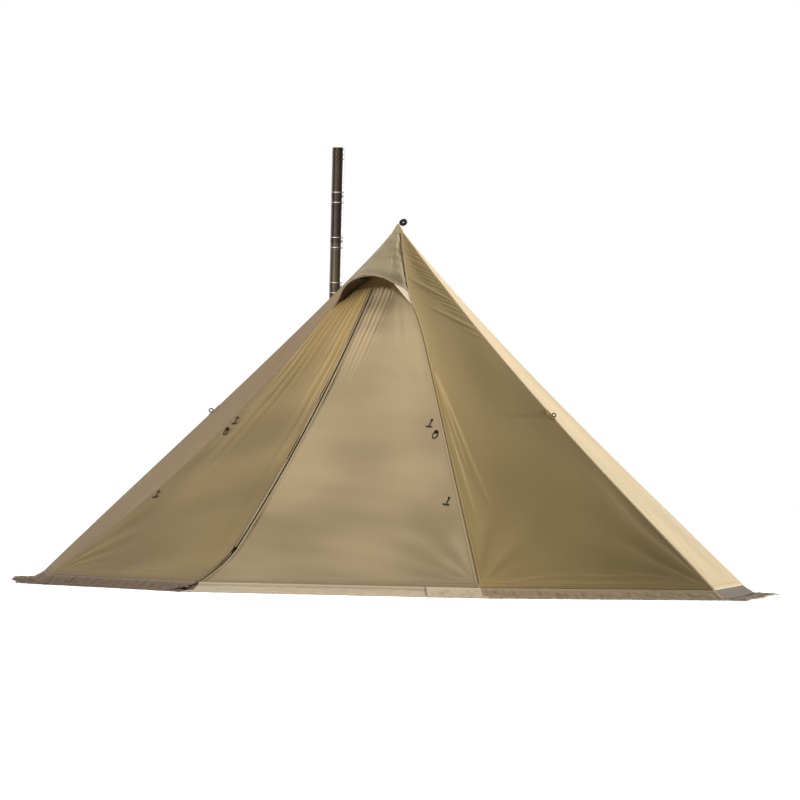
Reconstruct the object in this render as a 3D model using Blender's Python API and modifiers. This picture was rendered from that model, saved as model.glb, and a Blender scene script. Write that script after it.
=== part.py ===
# Eight-sided pyramid tent on one pole: a zipped door on the front ridge, a hooded vent,
# a snow skirt, and a small stove whose flue leaves through the left rear panel
import math

import bmesh
import bpy
from mathutils import Matrix, Vector

# Pitch, in metres; the pole stands at the origin and the door ridge points to -Y
APEX_HEIGHT = 1.773
HEM_HEIGHT = 0.045
CAP_HEIGHT = 0.038
CAP_TIP_SHARE = 0.08
FABRIC = 0.002
GAP = 0.0003

# Hem corners: distance from the pole, and bearing from +X on the right-hand side
DOOR_CORNER_RADIUS = 1.861
FRONT_CORNER_RADIUS = 1.731
FRONT_CORNER_BEARING = -48.3
SIDE_CORNER_RADIUS = 1.857
SIDE_CORNER_BEARING = -7.0
REAR_CORNER_RADIUS = 1.80
REAR_CORNER_BEARING = 41.2
BACK_CORNER_RADIUS = 1.75

# How far each ridge hangs inside its straight line, and where down the ridge it is deepest
LEFT_SEAM_SAG = 0.14
LEFT_SEAM_SAG_AT = 0.58
RIGHT_SEAM_SAG = 0.005
GUYED_SAG = 0.035
GUYED_SAG_AT = 0.30
SIDE_SAG = 0.068
SIDE_SAG_AT = 0.45
REAR_SAG = 0.053
REAR_SAG_AT = 0.41
SAG_SHARPNESS = 2.3

# Door ridge: an arc for the zip from its top to its foot, then a kick out to the corner
ZIP_TOP_BELOW_APEX = 0.346
ZIP_TOP_HEIGHT = APEX_HEIGHT - ZIP_TOP_BELOW_APEX
DOOR_TOP_BELOW_ZIP_TOP = 0.025
DOOR_TOP_HEIGHT = ZIP_TOP_HEIGHT - DOOR_TOP_BELOW_ZIP_TOP
ZIP_FOOT_HEIGHT = 0.17
ZIP_TOP_SAG = 0.104
ZIP_FOOT_SAG = 0.167
ZIP_BOW = 0.0447

# Zip
ZIP_HALF_TAPE = 0.016
ZIP_TAPE_THICKNESS = 0.0012
ZIP_CHAIN_RADIUS = 0.003
ZIP_CHAIN_SPACE = 0.0016
SLIDER_LENGTH = 0.022
SLIDER_WIDTH = 0.014
SLIDER_PLATE = 0.002
SLIDER_WEB = 0.001
SLIDER_CLEARANCE = 0.0005
PULL_LENGTH = 0.045
PULL_WIDTH = 0.008
PULL_THICKNESS = 0.002
PULL_PIVOT_STANDOFF = 0.0016

# Vent: the door's top edge drops beside the seams, and the hood stands over it
DOOR_TOP_CORNER_DROP = 0.095
DOOR_TOP_CORNER_SHARE = 0.3
DOOR_HINGE_PROUD = 0.003
HOOD_END_BELOW_APEX = 0.428
HOOD_MIDDLE_BELOW_APEX = 0.255
HOOD_END_HEIGHT = APEX_HEIGHT - HOOD_END_BELOW_APEX
HOOD_MIDDLE_HEIGHT = APEX_HEIGHT - HOOD_MIDDLE_BELOW_APEX
HOOD_MIDDLE_RADIUS = 0.345
HOOD_COLUMNS = 24
HOOD_SIDE_INSET = 0.0014
HOOD_BINDING_RADIUS = 0.004
HOOD_BINDING_END = 1
MESH_LAP = 0.010
MESH_TOP_BELOW_APEX = 0.073
MESH_TOP_HEIGHT = APEX_HEIGHT - MESH_TOP_BELOW_APEX
MESH_SIDE_INSET = 0.0016
MESH_BEHIND = 0.0009

# Skirt
SKIRT_WIDTH = 0.165
SKIRT_DROP_RUN = 0.060
DOOR_SKIRT_START = 0.25
DOOR_SKIRT_CLEARANCE = 0.002

# Webbing loops
WEBBING = 0.0025
APEX_LOOP_OUTER = 0.024
APEX_LOOP_INNER = 0.014
APEX_LOOP_WIDTH = 0.014
APEX_LOOP_GAP = 0.0009
GUY_LOOP_HEIGHT = 0.857
GUY_LOOP_LENGTH = 0.036
GUY_LOOP_WIDTH = 0.022
GUY_LOOP_WALL = 0.004

# Door toggles and the loops that they close into
TOGGLE_HEIGHTS = {"upper": 0.810, "lower": 0.445}
TOGGLE_FROM_SEAM = {"left": 0.026, "right": 0.050}
TOGGLE_BAR = 0.034
TOGGLE_STEM = 0.034
TOGGLE_THICKNESS = 0.006
TOGGLE_STEM_WIDTH = 0.004
TOGGLE_STANDOFF = 0.0038
TOGGLE_LOOP_LENGTH = 0.046
TOGGLE_LOOP_WIDTH = 0.030
TOGGLE_LOOP_WALL = 0.005
TOGGLE_LOOP_STANDOFF = {"left": 0.0012, "right": 0.0006}
TOGGLE_LOOP_HEIGHT = 0.742
TOGGLE_LOOP_FROM_SEAM = {"left": 0.045, "right": 0.048}

# Pole
POLE_RADIUS = 0.016
POLE_WALL = 0.0015
POLE_JOINT_HEIGHT = 1.02
POLE_OVERLAP = 0.28
POLE_RUNNING_GAP = 0.0004
POLE_FOOT_RADIUS = 0.024
POLE_FOOT_HEIGHT = 0.035
POLE_FOOT_PAD = 0.010
POLE_COLLAR_RADIUS = 0.022
POLE_COLLAR_HEIGHT = 0.055
POLE_COLLAR_CHAMFER = 0.006
POLE_COLLAR_NECK = 0.85
POLE_COLLAR_BELOW = 0.033
POLE_TIP_HEIGHT = 0.045
TIP_BELOW_APEX = 0.0060
TIP_TAPER = 0.95
TIP_END_RADIUS = 0.004
TIP_PLUG_LENGTH = 0.030

# Flue
FLUE_RADIUS = 0.030
FLUE_WALL = 0.0008
FLUE_SPIGOT = 0.040
FLUE_BEAD = 0.0025
FLUE_BEAD_HALF_HEIGHT = 0.004
FLUE_BEAD_FROM_JOINT = 0.025
FLUE_PITCH = 0.2248
FLUE_SECTIONS = 7
FLUE_BEARING = 155.0
FLUE_DISTANCE = 0.509
ARRESTOR_LENGTH = 0.249
ARRESTOR_HOLE_RADIUS = 0.0042
ARRESTOR_HOLES_AROUND = 8
ARRESTOR_HOLE_ROWS = 3
ARRESTOR_FIRST_ROW = 0.012
ARRESTOR_ROW_PITCH = 0.020
ARRESTOR_HOLE_TURN = 0.11
DAMPER_RADIUS = 0.025
DAMPER_THICKNESS = 0.0015
DAMPER_SHAFT_RADIUS = 0.002
DAMPER_SHAFT_GAP = 0.0004
DAMPER_SHAFT_OUTSIDE = 0.006
DAMPER_HANDLE = 0.055
DAMPER_HANDLE_RADIUS = 0.0024
DAMPER_ABOVE_STOVE = 0.105

# Stove jack
JACK_WIDTH = 0.14
JACK_HEIGHT = 0.18
JACK_BORDER = 0.022
JACK_STANDOFF = 0.0008
JACK_FLUE_GAP = 0.0006
JACK_FLAP_LENGTH = 0.15
JACK_FLAP_WIDTH = 0.13
JACK_FLAP_GAP = 0.002

# Stove
STOVE_LENGTH = 0.42
STOVE_WIDTH = 0.23
STOVE_HEIGHT = 0.21
STOVE_WALL = 0.003
STOVE_ROUNDING = 0.0045
STOVE_TOP_HEIGHT = 0.355
STOVE_FLUE_FROM_BACK = 0.075
STOVE_MOUTH_WIDTH = 0.15
STOVE_MOUTH_HEIGHT = 0.13
STOVE_DOOR_LAP = 0.018
STOVE_DOOR_THICKNESS = 0.004
STOVE_HINGE_RADIUS = 0.004
LATCH_LENGTH = 0.060
LATCH_WIDTH = 0.012
LATCH_THICKNESS = 0.004
LEG_WIDTH = 0.022
LEG_THICKNESS = 0.003
LEG_SPLAY = 6.0
LEG_FROM_END = 0.020
LEG_PIVOT_ABOVE_BASE = 0.016
LEG_RIVET_RADIUS = 0.003

# Facets along curves
RIDGE_ROWS = 14
PANEL_COLUMNS = 2
DOOR_COLUMNS = 8
DOOR_ROWS = 24
CHAIN_STEPS = 16
JACK_PANEL_COLUMNS = 10
ROUND_STEPS = 24
FLUE_STEPS = 18

LEFT_AND_RIGHT = (("left", -1), ("right", 1))
UP = Vector((0, 0, 1))

BEARINGS = {
    "front": -90.0,
    "front_right": FRONT_CORNER_BEARING,
    "side_right": SIDE_CORNER_BEARING,
    "rear_right": REAR_CORNER_BEARING,
    "back": 90.0,
    "rear_left": 180.0 - REAR_CORNER_BEARING,
    "side_left": 180.0 - SIDE_CORNER_BEARING,
    "front_left": -180.0 - FRONT_CORNER_BEARING,
}
RADII = {
    "front": DOOR_CORNER_RADIUS,
    "front_right": FRONT_CORNER_RADIUS,
    "side_right": SIDE_CORNER_RADIUS,
    "rear_right": REAR_CORNER_RADIUS,
    "back": BACK_CORNER_RADIUS,
    "rear_left": REAR_CORNER_RADIUS,
    "side_left": SIDE_CORNER_RADIUS,
    "front_left": FRONT_CORNER_RADIUS,
}
SAGS = {
    "front_right": (RIGHT_SEAM_SAG, LEFT_SEAM_SAG_AT),
    "side_right": (SIDE_SAG, SIDE_SAG_AT),
    "rear_right": (REAR_SAG, REAR_SAG_AT),
    "back": (SIDE_SAG, SIDE_SAG_AT),
    "rear_left": (REAR_SAG, REAR_SAG_AT),
    "side_left": (GUYED_SAG, GUYED_SAG_AT),
    "front_left": (LEFT_SEAM_SAG, LEFT_SEAM_SAG_AT),
}
# Each panel runs from one ridge to the next, anticlockwise seen from above
PANELS = {
    "panel_right_front": ("front_right", "side_right"),
    "panel_right_rear": ("side_right", "rear_right"),
    "panel_back_right": ("rear_right", "back"),
    "panel_back_left": ("back", "rear_left"),
    "panel_left_rear": ("rear_left", "side_left"),
    "panel_left_front": ("side_left", "front_left"),
}
JACK_PANEL = "panel_left_rear"
RING = ["front", "front_right", "side_right", "rear_right", "back", "rear_left", "side_left", "front_left"]


# Scene, collections and materials
def clear_scene():
    for old in list(bpy.data.objects):
        bpy.data.objects.remove(old, do_unlink=True)


def collection(name):
    made = bpy.data.collections.new(name)
    bpy.context.scene.collection.children.link(made)
    return made


clear_scene()
PARTS = collection("pyramid_tent")
CUTTERS = collection("cutters")


def material(name, colour, roughness, metallic=0.0):
    made = bpy.data.materials.new(name)
    made.use_nodes = True
    shader = made.node_tree.nodes["Principled BSDF"]
    shader.inputs["Base Color"].default_value = (*colour, 1.0)
    shader.inputs["Roughness"].default_value = roughness
    shader.inputs["Metallic"].default_value = metallic
    return made


KHAKI = (0.30, 0.235, 0.13)
SKIRT_BROWN = (0.20, 0.16, 0.105)
BLACK = (0.018, 0.017, 0.016)
FLUE_BROWN = (0.070, 0.052, 0.040)
STOVE_GREY = (0.055, 0.052, 0.050)
ALUMINIUM = (0.62, 0.62, 0.63)


# Building blocks
def add(name, data, finish, matrix=None, parent=None):
    obj = bpy.data.objects.new(name, data)
    PARTS.objects.link(obj)
    obj.data.materials.append(material(name, *finish))
    if parent is not None:
        obj.parent = parent
        obj.matrix_parent_inverse = parent.matrix_world.inverted()
    if matrix is not None:
        obj.matrix_world = matrix
    return obj


def pivot(name, location):
    """An empty on a joint's axis, which carries the pieces that turn or slide there."""
    empty = bpy.data.objects.new(name, None)
    empty.empty_display_size = 0.05
    PARTS.objects.link(empty)
    empty.matrix_world = Matrix.Translation(location)
    return empty


def frame_matrix(origin, x_axis, y_axis, z_axis):
    turned = Matrix((x_axis, y_axis, z_axis)).transposed().to_4x4()
    turned.translation = origin
    return turned


def solidify(obj, thickness, offset=1.0):
    shell = obj.modifiers.new("thickness", "SOLIDIFY")
    shell.thickness = thickness
    shell.offset = offset
    shell.use_even_offset = True


def cut(obj, cutter, operation="DIFFERENCE"):
    boolean = obj.modifiers.new(cutter.name, "BOOLEAN")
    boolean.operation = operation
    boolean.object = cutter
    boolean.solver = "EXACT"


def as_cutter(name, mesh, matrix):
    obj = bpy.data.objects.new(name, mesh)
    CUTTERS.objects.link(obj)
    obj.matrix_world = matrix
    obj.hide_render = True
    obj.display_type = "WIRE"
    return obj


def mesh_from(bm, name):
    mesh = bpy.data.meshes.new(name)
    bm.to_mesh(mesh)
    bm.free()
    return mesh


def box_mesh(name, size):
    bm = bmesh.new()
    bmesh.ops.create_cube(bm, size=1.0)
    bmesh.ops.scale(bm, vec=size, verts=bm.verts)
    return mesh_from(bm, name)


def cylinder_mesh(name, radius, depth, steps=ROUND_STEPS):
    bm = bmesh.new()
    bmesh.ops.create_cone(bm, cap_ends=True, segments=steps, radius1=radius, radius2=radius, depth=depth)
    return mesh_from(bm, name)


def turned(name, profile, finish, location, steps=ROUND_STEPS, parent=None):
    """A round piece: a closed profile of (radius, height), outer side from top to bottom."""
    bm = bmesh.new()
    points = [bm.verts.new((radius, 0, height)) for radius, height in profile]
    for start, end in zip(points, points[1:] + points[:1]):
        if max(start.co.x, end.co.x) > 0:
            bm.edges.new((start, end))
    obj = add(name, mesh_from(bm, name), finish, Matrix.Translation(location), parent)
    screw = obj.modifiers.new("turn", "SCREW")
    screw.steps = steps
    screw.render_steps = steps
    screw.use_merge_vertices = True
    screw.merge_threshold = 0.0001
    return obj


def surface(name, point_at, columns, rows, finish, thickness=FABRIC, inward=0.0, parent=None):
    """Fabric: a grid laid on point_at(across, down), then given its thickness outwards."""
    bm = bmesh.new()
    bmesh.ops.create_grid(bm, x_segments=columns, y_segments=rows, size=1.0)
    for vert in bm.verts:
        across = (vert.co.x + 1) / 2
        down = (vert.co.y + 1) / 2
        vert.co = point_at(across, down)
    bm.normal_update()
    middle = sum((vert.co for vert in bm.verts), Vector()) / len(bm.verts)
    facing = sum((face.normal for face in bm.faces), Vector())
    if facing.dot(Vector((middle.x, middle.y, middle.z))) < 0:
        bmesh.ops.reverse_faces(bm, faces=bm.faces)
        bm.normal_update()
    if inward:
        moves = [vert.normal * inward for vert in bm.verts]
        for vert, move in zip(bm.verts, moves):
            vert.co -= move
    obj = add(name, mesh_from(bm, name), finish, parent=parent)
    solidify(obj, thickness)
    return obj


def outline(name, loops, thickness, finish, matrix, parent=None):
    """A flat piece: closed outlines filled and extruded to a thickness; inner loops are holes."""
    curve = bpy.data.curves.new(name, "CURVE")
    curve.dimensions = "2D"
    curve.fill_mode = "BOTH"
    curve.extrude = thickness / 2
    for points in loops:
        spline = curve.splines.new("POLY")
        spline.points.add(len(points) - 1)
        for target, (x, y) in zip(spline.points, points):
            target.co = (x, y, 0, 1)
        spline.use_cyclic_u = True
    return add(name, curve, finish, matrix, parent)


def tube(name, points, radius, finish, parent=None):
    curve = bpy.data.curves.new(name, "CURVE")
    curve.dimensions = "3D"
    curve.bevel_depth = radius
    curve.bevel_resolution = 2
    curve.use_fill_caps = True
    spline = curve.splines.new("POLY")
    spline.points.add(len(points) - 1)
    for target, point in zip(spline.points, points):
        target.co = (*point, 1)
    return add(name, curve, finish, parent=parent)


def slot_outline(length, width, steps=8):
    """A rounded slot that starts at the origin and runs along +X."""
    radius = width / 2
    points = []
    for centre, first in ((length - radius, -90), (radius, 90)):
        for step in range(steps + 1):
            angle = math.radians(first + 180 * step / steps)
            points.append((centre + radius * math.cos(angle), radius * math.sin(angle)))
    return points


def slot_ring(length, width, wall):
    inner = slot_outline(length - 2 * wall, width - 2 * wall)
    return [slot_outline(length, width), [(x + wall, y) for x, y in inner]]


# Shape of the pitched fabric: ridges, and the panels ruled between them
def share_down(height):
    return (APEX_HEIGHT - height) / (APEX_HEIGHT - HEM_HEIGHT)


def sag(depth, deepest, share):
    if share <= 0 or share >= 1:
        return 0.0
    rise = (share / deepest) ** (SAG_SHARPNESS * deepest)
    fall = ((1 - share) / (1 - deepest)) ** (SAG_SHARPNESS * (1 - deepest))
    return depth * rise * fall


def zip_arc():
    """The door ridge's arc in (radius, height): its centre, its radius, and its two ends."""
    top = Vector((DOOR_CORNER_RADIUS * share_down(ZIP_TOP_HEIGHT) - ZIP_TOP_SAG, ZIP_TOP_HEIGHT))
    foot = Vector((DOOR_CORNER_RADIUS * share_down(ZIP_FOOT_HEIGHT) - ZIP_FOOT_SAG, ZIP_FOOT_HEIGHT))
    chord = foot - top
    radius = chord.length ** 2 / (8 * ZIP_BOW) + ZIP_BOW / 2
    outward = Vector((-chord.y, chord.x)).normalized()
    centre = (top + foot) / 2 + outward * (radius - ZIP_BOW)
    return centre, radius, top, foot


ARC_CENTRE, ARC_RADIUS, ARC_TOP, ARC_FOOT = zip_arc()


def door_ridge_radius(height):
    if height > ZIP_TOP_HEIGHT:
        return ARC_TOP.x * (APEX_HEIGHT - height) / (APEX_HEIGHT - ZIP_TOP_HEIGHT)
    if height < ZIP_FOOT_HEIGHT:
        share = (height - HEM_HEIGHT) / (ZIP_FOOT_HEIGHT - HEM_HEIGHT)
        return DOOR_CORNER_RADIUS + (ARC_FOOT.x - DOOR_CORNER_RADIUS) * share
    return ARC_CENTRE.x - math.sqrt(ARC_RADIUS ** 2 - (height - ARC_CENTRE.y) ** 2)


def ridge_radius(name, height):
    if name == "front":
        return door_ridge_radius(height)
    share = share_down(height)
    return RADII[name] * share - sag(*SAGS[name], share)


def polar(bearing, radius, height):
    angle = math.radians(bearing)
    return Vector((radius * math.cos(angle), radius * math.sin(angle), height))


def ridge(name, height):
    return polar(BEARINGS[name], ridge_radius(name, height), height)


def between(start, end, share, inset=GAP / 2):
    """A point between two others, kept clear of both by a seam's half gap."""
    clear = inset / (end - start).length
    return start.lerp(end, clear + share * (1 - 2 * clear))


def height_at(top, down, bottom=HEM_HEIGHT):
    return top + (bottom - top) * down


PANEL_TOP = APEX_HEIGHT - CAP_HEIGHT


def panel_point(name, across, height):
    first, second = PANELS[name]
    return between(ridge(first, height), ridge(second, height), across)


# Fixed panels
def build_panel(name):
    def at(across, down):
        return panel_point(name, across, height_at(PANEL_TOP, down))

    columns = JACK_PANEL_COLUMNS if name == JACK_PANEL else PANEL_COLUMNS
    return surface(name, at, columns, RIDGE_ROWS, (KHAKI, 0.75))


PANEL_OBJECTS = {name: build_panel(name) for name in PANELS}


# Door panels, each on a pivot along the straight line of its outer seam
def door_seam(side):
    return "front_left" if side < 0 else "front_right"


def door_top_height(share_from_seam):
    drop = DOOR_TOP_CORNER_DROP * max(0.0, 1 - share_from_seam / DOOR_TOP_CORNER_SHARE)
    return DOOR_TOP_HEIGHT - drop


def door_point(side, from_zip, height):
    """A point on a door panel's inner face, at a distance from the centre plane."""
    seam = ridge(door_seam(side), height)
    middle = ridge("front", height)
    share = from_zip / abs(seam.x)
    return middle.lerp(seam, share)


def door_sheet(side, near_zip, near_seam, columns, name, finish, thickness, parent):
    """A strip of the door between two distances; near_seam None is the seam itself."""
    def at(across, down):
        rough_height = height_at(door_top_height(1 - across), down)
        seam_x = abs(ridge(door_seam(side), rough_height).x)
        outer = seam_x - GAP if near_seam is None else near_seam
        from_zip = near_zip + (outer - near_zip) * across
        height = height_at(door_top_height(1 - from_zip / seam_x), down)
        seam_x = abs(ridge(door_seam(side), height).x)
        outer = seam_x - GAP if near_seam is None else near_seam
        return door_point(side, near_zip + (outer - near_zip) * across, height)

    return surface(name, at, columns, DOOR_ROWS, finish, thickness, parent=parent)


DOOR_PIVOTS = {}
for side_name, side in LEFT_AND_RIGHT:
    hinge_top = ridge(door_seam(side), door_top_height(0))
    hinge_foot = ridge(door_seam(side), HEM_HEIGHT)
    hinge_out = (hinge_top - hinge_foot).cross(UP).cross(hinge_top - hinge_foot).normalized()
    DOOR_PIVOTS[side] = pivot("door_" + side_name + "_pivot", hinge_top + hinge_out * DOOR_HINGE_PROUD)
    door_sheet(side, ZIP_HALF_TAPE, None, DOOR_COLUMNS, "door_" + side_name + "_panel", (KHAKI, 0.75),
               FABRIC, DOOR_PIVOTS[side])


# Zip: two tapes and two chains, one of each on either door
def zip_point(from_zip, height, proud):
    """A point on the zip line, moved outwards square to the ridge."""
    step = 0.001
    slope = (door_ridge_radius(height - step) - door_ridge_radius(height + step)) / (2 * step)
    outward = Vector((0, -1, slope)).normalized()
    return Vector((from_zip, -door_ridge_radius(height), height)) + outward * proud


CHAIN_FROM_ZIP = ZIP_CHAIN_SPACE / 2 + ZIP_CHAIN_RADIUS
CHAIN_PROUD = FABRIC / 2
TAPE_FROM_ZIP = CHAIN_FROM_ZIP + ZIP_CHAIN_RADIUS + GAP
CHAIN_TOP = DOOR_TOP_HEIGHT - MESH_LAP - ZIP_CHAIN_RADIUS
CHAIN_HEIGHTS = [CHAIN_TOP + (ZIP_FOOT_HEIGHT - CHAIN_TOP) * n / CHAIN_STEPS for n in range(CHAIN_STEPS + 1)]
CHAIN_HEIGHTS += [HEM_HEIGHT + 2 * ZIP_CHAIN_RADIUS]
for side_name, side in LEFT_AND_RIGHT:
    chain_points = [zip_point(side * CHAIN_FROM_ZIP, height, CHAIN_PROUD) for height in CHAIN_HEIGHTS]
    tube("zip_chain_" + side_name, chain_points, ZIP_CHAIN_RADIUS, (BLACK, 0.45), DOOR_PIVOTS[side])
    door_sheet(side, TAPE_FROM_ZIP, ZIP_HALF_TAPE - GAP, 1, "zip_tape_" + side_name, (KHAKI, 0.8),
               ZIP_TAPE_THICKNESS, DOOR_PIVOTS[side])


# Zip slider, which runs along the arc, and its pull
def zip_frame(height, proud):
    """Axes on the zip: X across, Y up along the ridge, Z outwards."""
    point = zip_point(0, height, proud)
    arc_middle = Vector((0, -ARC_CENTRE.x, ARC_CENTRE.y))
    outward = (arc_middle - point).normalized()
    return frame_matrix(point, Vector((1, 0, 0)), outward.cross(Vector((1, 0, 0))), outward)


SLIDER_HEIGHT = ZIP_FOOT_HEIGHT + SLIDER_LENGTH
PLATE_INNER = ZIP_CHAIN_RADIUS + SLIDER_CLEARANCE
PLATE_OUTER = PLATE_INNER + SLIDER_PLATE
slider_pivot = pivot("zip_slider_pivot", Vector((0, -ARC_CENTRE.x, ARC_CENTRE.y)))
slider_pivot.parent = DOOR_PIVOTS[1]
slider_pivot.matrix_parent_inverse = DOOR_PIVOTS[1].matrix_world.inverted()
half = SLIDER_WIDTH / 2
web = SLIDER_WEB / 2
i_section = [(-half, -PLATE_OUTER), (half, -PLATE_OUTER), (half, -PLATE_INNER), (web, -PLATE_INNER),
             (web, PLATE_INNER), (half, PLATE_INNER), (half, PLATE_OUTER), (-half, PLATE_OUTER),
             (-half, PLATE_INNER), (-web, PLATE_INNER), (-web, -PLATE_INNER), (-half, -PLATE_INNER)]
on_zip = zip_frame(SLIDER_HEIGHT, CHAIN_PROUD)
stand_up = Matrix.Rotation(math.radians(90), 4, "X")
outline("zip_slider", [i_section], SLIDER_LENGTH, (BLACK, 0.35, 0.6), on_zip @ stand_up, slider_pivot)

pull_axis = on_zip @ Vector((0, SLIDER_LENGTH / 2 - 0.004, PLATE_OUTER + PULL_PIVOT_STANDOFF))
pull_pivot = pivot("zip_pull_pivot", pull_axis)
pull_pivot.parent = slider_pivot
pull_pivot.matrix_parent_inverse = slider_pivot.matrix_world.inverted()
pull_start = Matrix.Translation(pull_axis) @ on_zip.to_3x3().to_4x4()
pull_down = Matrix.Rotation(math.radians(-90), 4, "Z")
pull_lift = Matrix.Translation((-PULL_THICKNESS / 2, 0, 0))
outline("zip_pull", [slot_outline(PULL_LENGTH, PULL_WIDTH)], PULL_THICKNESS, (BLACK, 0.5),
        pull_start @ pull_down @ pull_lift, pull_pivot)


# Vent: a mesh screen behind, and a hood in front whose brim is stiffened by its binding
def vent_mesh_point(across, down):
    side = -1 if across < 0.5 else 1
    from_middle = abs(across - 0.5) * 2
    bottom = door_top_height(1 - from_middle) - MESH_LAP
    height = height_at(MESH_TOP_HEIGHT, down, bottom)
    seam = ridge(door_seam(side), height)
    middle = ridge("front", height)
    clear = 1 - MESH_SIDE_INSET / (seam - middle).length
    return middle.lerp(seam, from_middle * clear)


surface("vent_mesh", vent_mesh_point, 10, 5, ((0.03, 0.024, 0.016), 0.9), inward=FABRIC + MESH_BEHIND)


def brim_point(share):
    """A point on the hood's brim; share runs from -1 at the left seam to 1 at the right."""
    seam = "front_left" if share < 0 else "front_right"
    bearing = BEARINGS["front"] + (BEARINGS[seam] - BEARINGS["front"]) * abs(share)
    rise = math.sqrt(max(0.0, 1 - share * share))
    height = HOOD_END_HEIGHT + (HOOD_MIDDLE_HEIGHT - HOOD_END_HEIGHT) * rise
    end_radius = ridge_radius(seam, height)
    middle_radius = HOOD_MIDDLE_RADIUS * (APEX_HEIGHT - height) / (APEX_HEIGHT - HOOD_MIDDLE_HEIGHT)
    bulge = math.cos(share * math.pi / 2)
    return polar(bearing, end_radius + (middle_radius - end_radius) * bulge, height)


def hood_point(across, down):
    share = math.sin((across - 0.5) * math.pi)
    brim = brim_point(share)
    top = brim.copy()
    shrink = (APEX_HEIGHT - PANEL_TOP) / (APEX_HEIGHT - brim.z)
    top.x *= shrink
    top.y *= shrink
    top.z = PANEL_TOP
    point = top.lerp(brim, down)
    seam = "front_left" if share < 0 else "front_right"
    on_seam = ridge_radius(seam, point.z) / max(point.xy.length, 1e-6)
    follow = max(0.0, abs(share) - 0.5) * 2
    scale = 1 + (on_seam - 1) * follow ** 2
    return Vector((point.x * scale - HOOD_SIDE_INSET * share, point.y * scale, point.z))


surface("vent_hood", hood_point, HOOD_COLUMNS, 5, (KHAKI, 0.72))


def binding_point(across):
    """The centre of the brim's binding, just past the hood's edge and square to it."""
    step = 1 / HOOD_COLUMNS
    edge = hood_point(across, 1)
    tangent = (hood_point(across + step, 1) - hood_point(across - step, 1)).normalized()
    fall = (edge - hood_point(across, 0.9)).normalized()
    outward = tangent.cross(fall).normalized()
    if outward.y > 0:
        outward = -outward
    away = outward.cross(tangent).normalized()
    if away.dot(fall) < 0:
        away = -away
    return edge + away * (HOOD_BINDING_RADIUS + 2 * GAP) + outward * (FABRIC / 2)


binding_stations = range(HOOD_BINDING_END, HOOD_COLUMNS - HOOD_BINDING_END + 1)
binding_path = [binding_point(n / HOOD_COLUMNS) for n in binding_stations]
tube("hood_brim_binding", binding_path, HOOD_BINDING_RADIUS, ((0.52, 0.40, 0.26), 0.7))


# Apex cap: the eight-sided top of the fabric, and the webbing loop that stands on it
CAP_BASE = PANEL_TOP + 3 * GAP
CAP_TIP_HEIGHT = APEX_HEIGHT - (APEX_HEIGHT - CAP_BASE) * CAP_TIP_SHARE


def cap_radius(name, height):
    if name == "front":
        base = HOOD_MIDDLE_RADIUS * (APEX_HEIGHT - CAP_BASE) / (APEX_HEIGHT - HOOD_MIDDLE_HEIGHT)
    else:
        base = ridge_radius(name, CAP_BASE)
    return base * share_down(height) / share_down(CAP_BASE)


def bearing_key(name):
    point = polar(BEARINGS[name], 1, 0)
    return math.atan2(point.y, point.x)


def build_cap():
    bm = bmesh.new()
    bmesh.ops.create_cone(bm, cap_ends=False, segments=len(RING), radius1=1, radius2=0.5, depth=1)
    bmesh.ops.rotate(bm, matrix=Matrix.Rotation(math.radians(3), 3, "Z"), verts=bm.verts)
    names = sorted(RING, key=bearing_key)
    rings = [[vert for vert in bm.verts if (vert.co.z > 0) == is_top] for is_top in (False, True)]
    for verts, height in zip(rings, (CAP_BASE, CAP_TIP_HEIGHT)):
        verts.sort(key=lambda vert: math.atan2(vert.co.y, vert.co.x))
        for vert, name in zip(verts, names):
            vert.co = polar(BEARINGS[name], cap_radius(name, height), height)
    tip_edges = [edge for edge in bm.edges if all(vert in rings[1] for vert in edge.verts)]
    bmesh.ops.holes_fill(bm, edges=tip_edges)
    bmesh.ops.recalc_face_normals(bm, faces=bm.faces)
    return bm


cap = add("apex_cap", mesh_from(build_cap(), "apex_cap"), (KHAKI, 0.75))
solidify(cap, FABRIC)

loop_base = Vector((0, 0, CAP_TIP_HEIGHT + FABRIC + APEX_LOOP_GAP))
loop_pivot = pivot("apex_loop_pivot", loop_base)
loop_middle = loop_base + UP * APEX_LOOP_OUTER
round_angles = [math.tau * n / ROUND_STEPS for n in range(ROUND_STEPS)]
circle = [(math.cos(angle), math.sin(angle)) for angle in round_angles]
ring_loops = [[(x * r, y * r) for x, y in circle] for r in (APEX_LOOP_OUTER, APEX_LOOP_INNER)]
loop_stand = frame_matrix(loop_middle, Vector((1, 0, 0)), UP, Vector((0, -1, 0)))
outline("apex_loop", ring_loops, APEX_LOOP_WIDTH, (BLACK, 0.8), loop_stand, loop_pivot)


# Skirt: flaps that drop from the hem to the ground and lie outwards, mitred at the corners
def hem_corner(name):
    return ridge(name, HEM_HEIGHT).xy


def hem_normal(start, end):
    along = (hem_corner(end) - hem_corner(start)).normalized()
    return Vector((along.y, -along.x))


def skirt_corner(name, outwards):
    """The hem corner moved out along its mitre."""
    place = RING.index(name)
    before = hem_normal(RING[place - 1], name)
    after = hem_normal(name, RING[(place + 1) % len(RING)])
    mitre = (before + after) / (1 + before.dot(after))
    return hem_corner(name) + mitre * outwards


SKIRT_TOP = HEM_HEIGHT - 2 * GAP
SKIRT_STATIONS = ((0.0, SKIRT_TOP), (SKIRT_DROP_RUN, 0.0), (SKIRT_WIDTH, 0.0))


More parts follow.
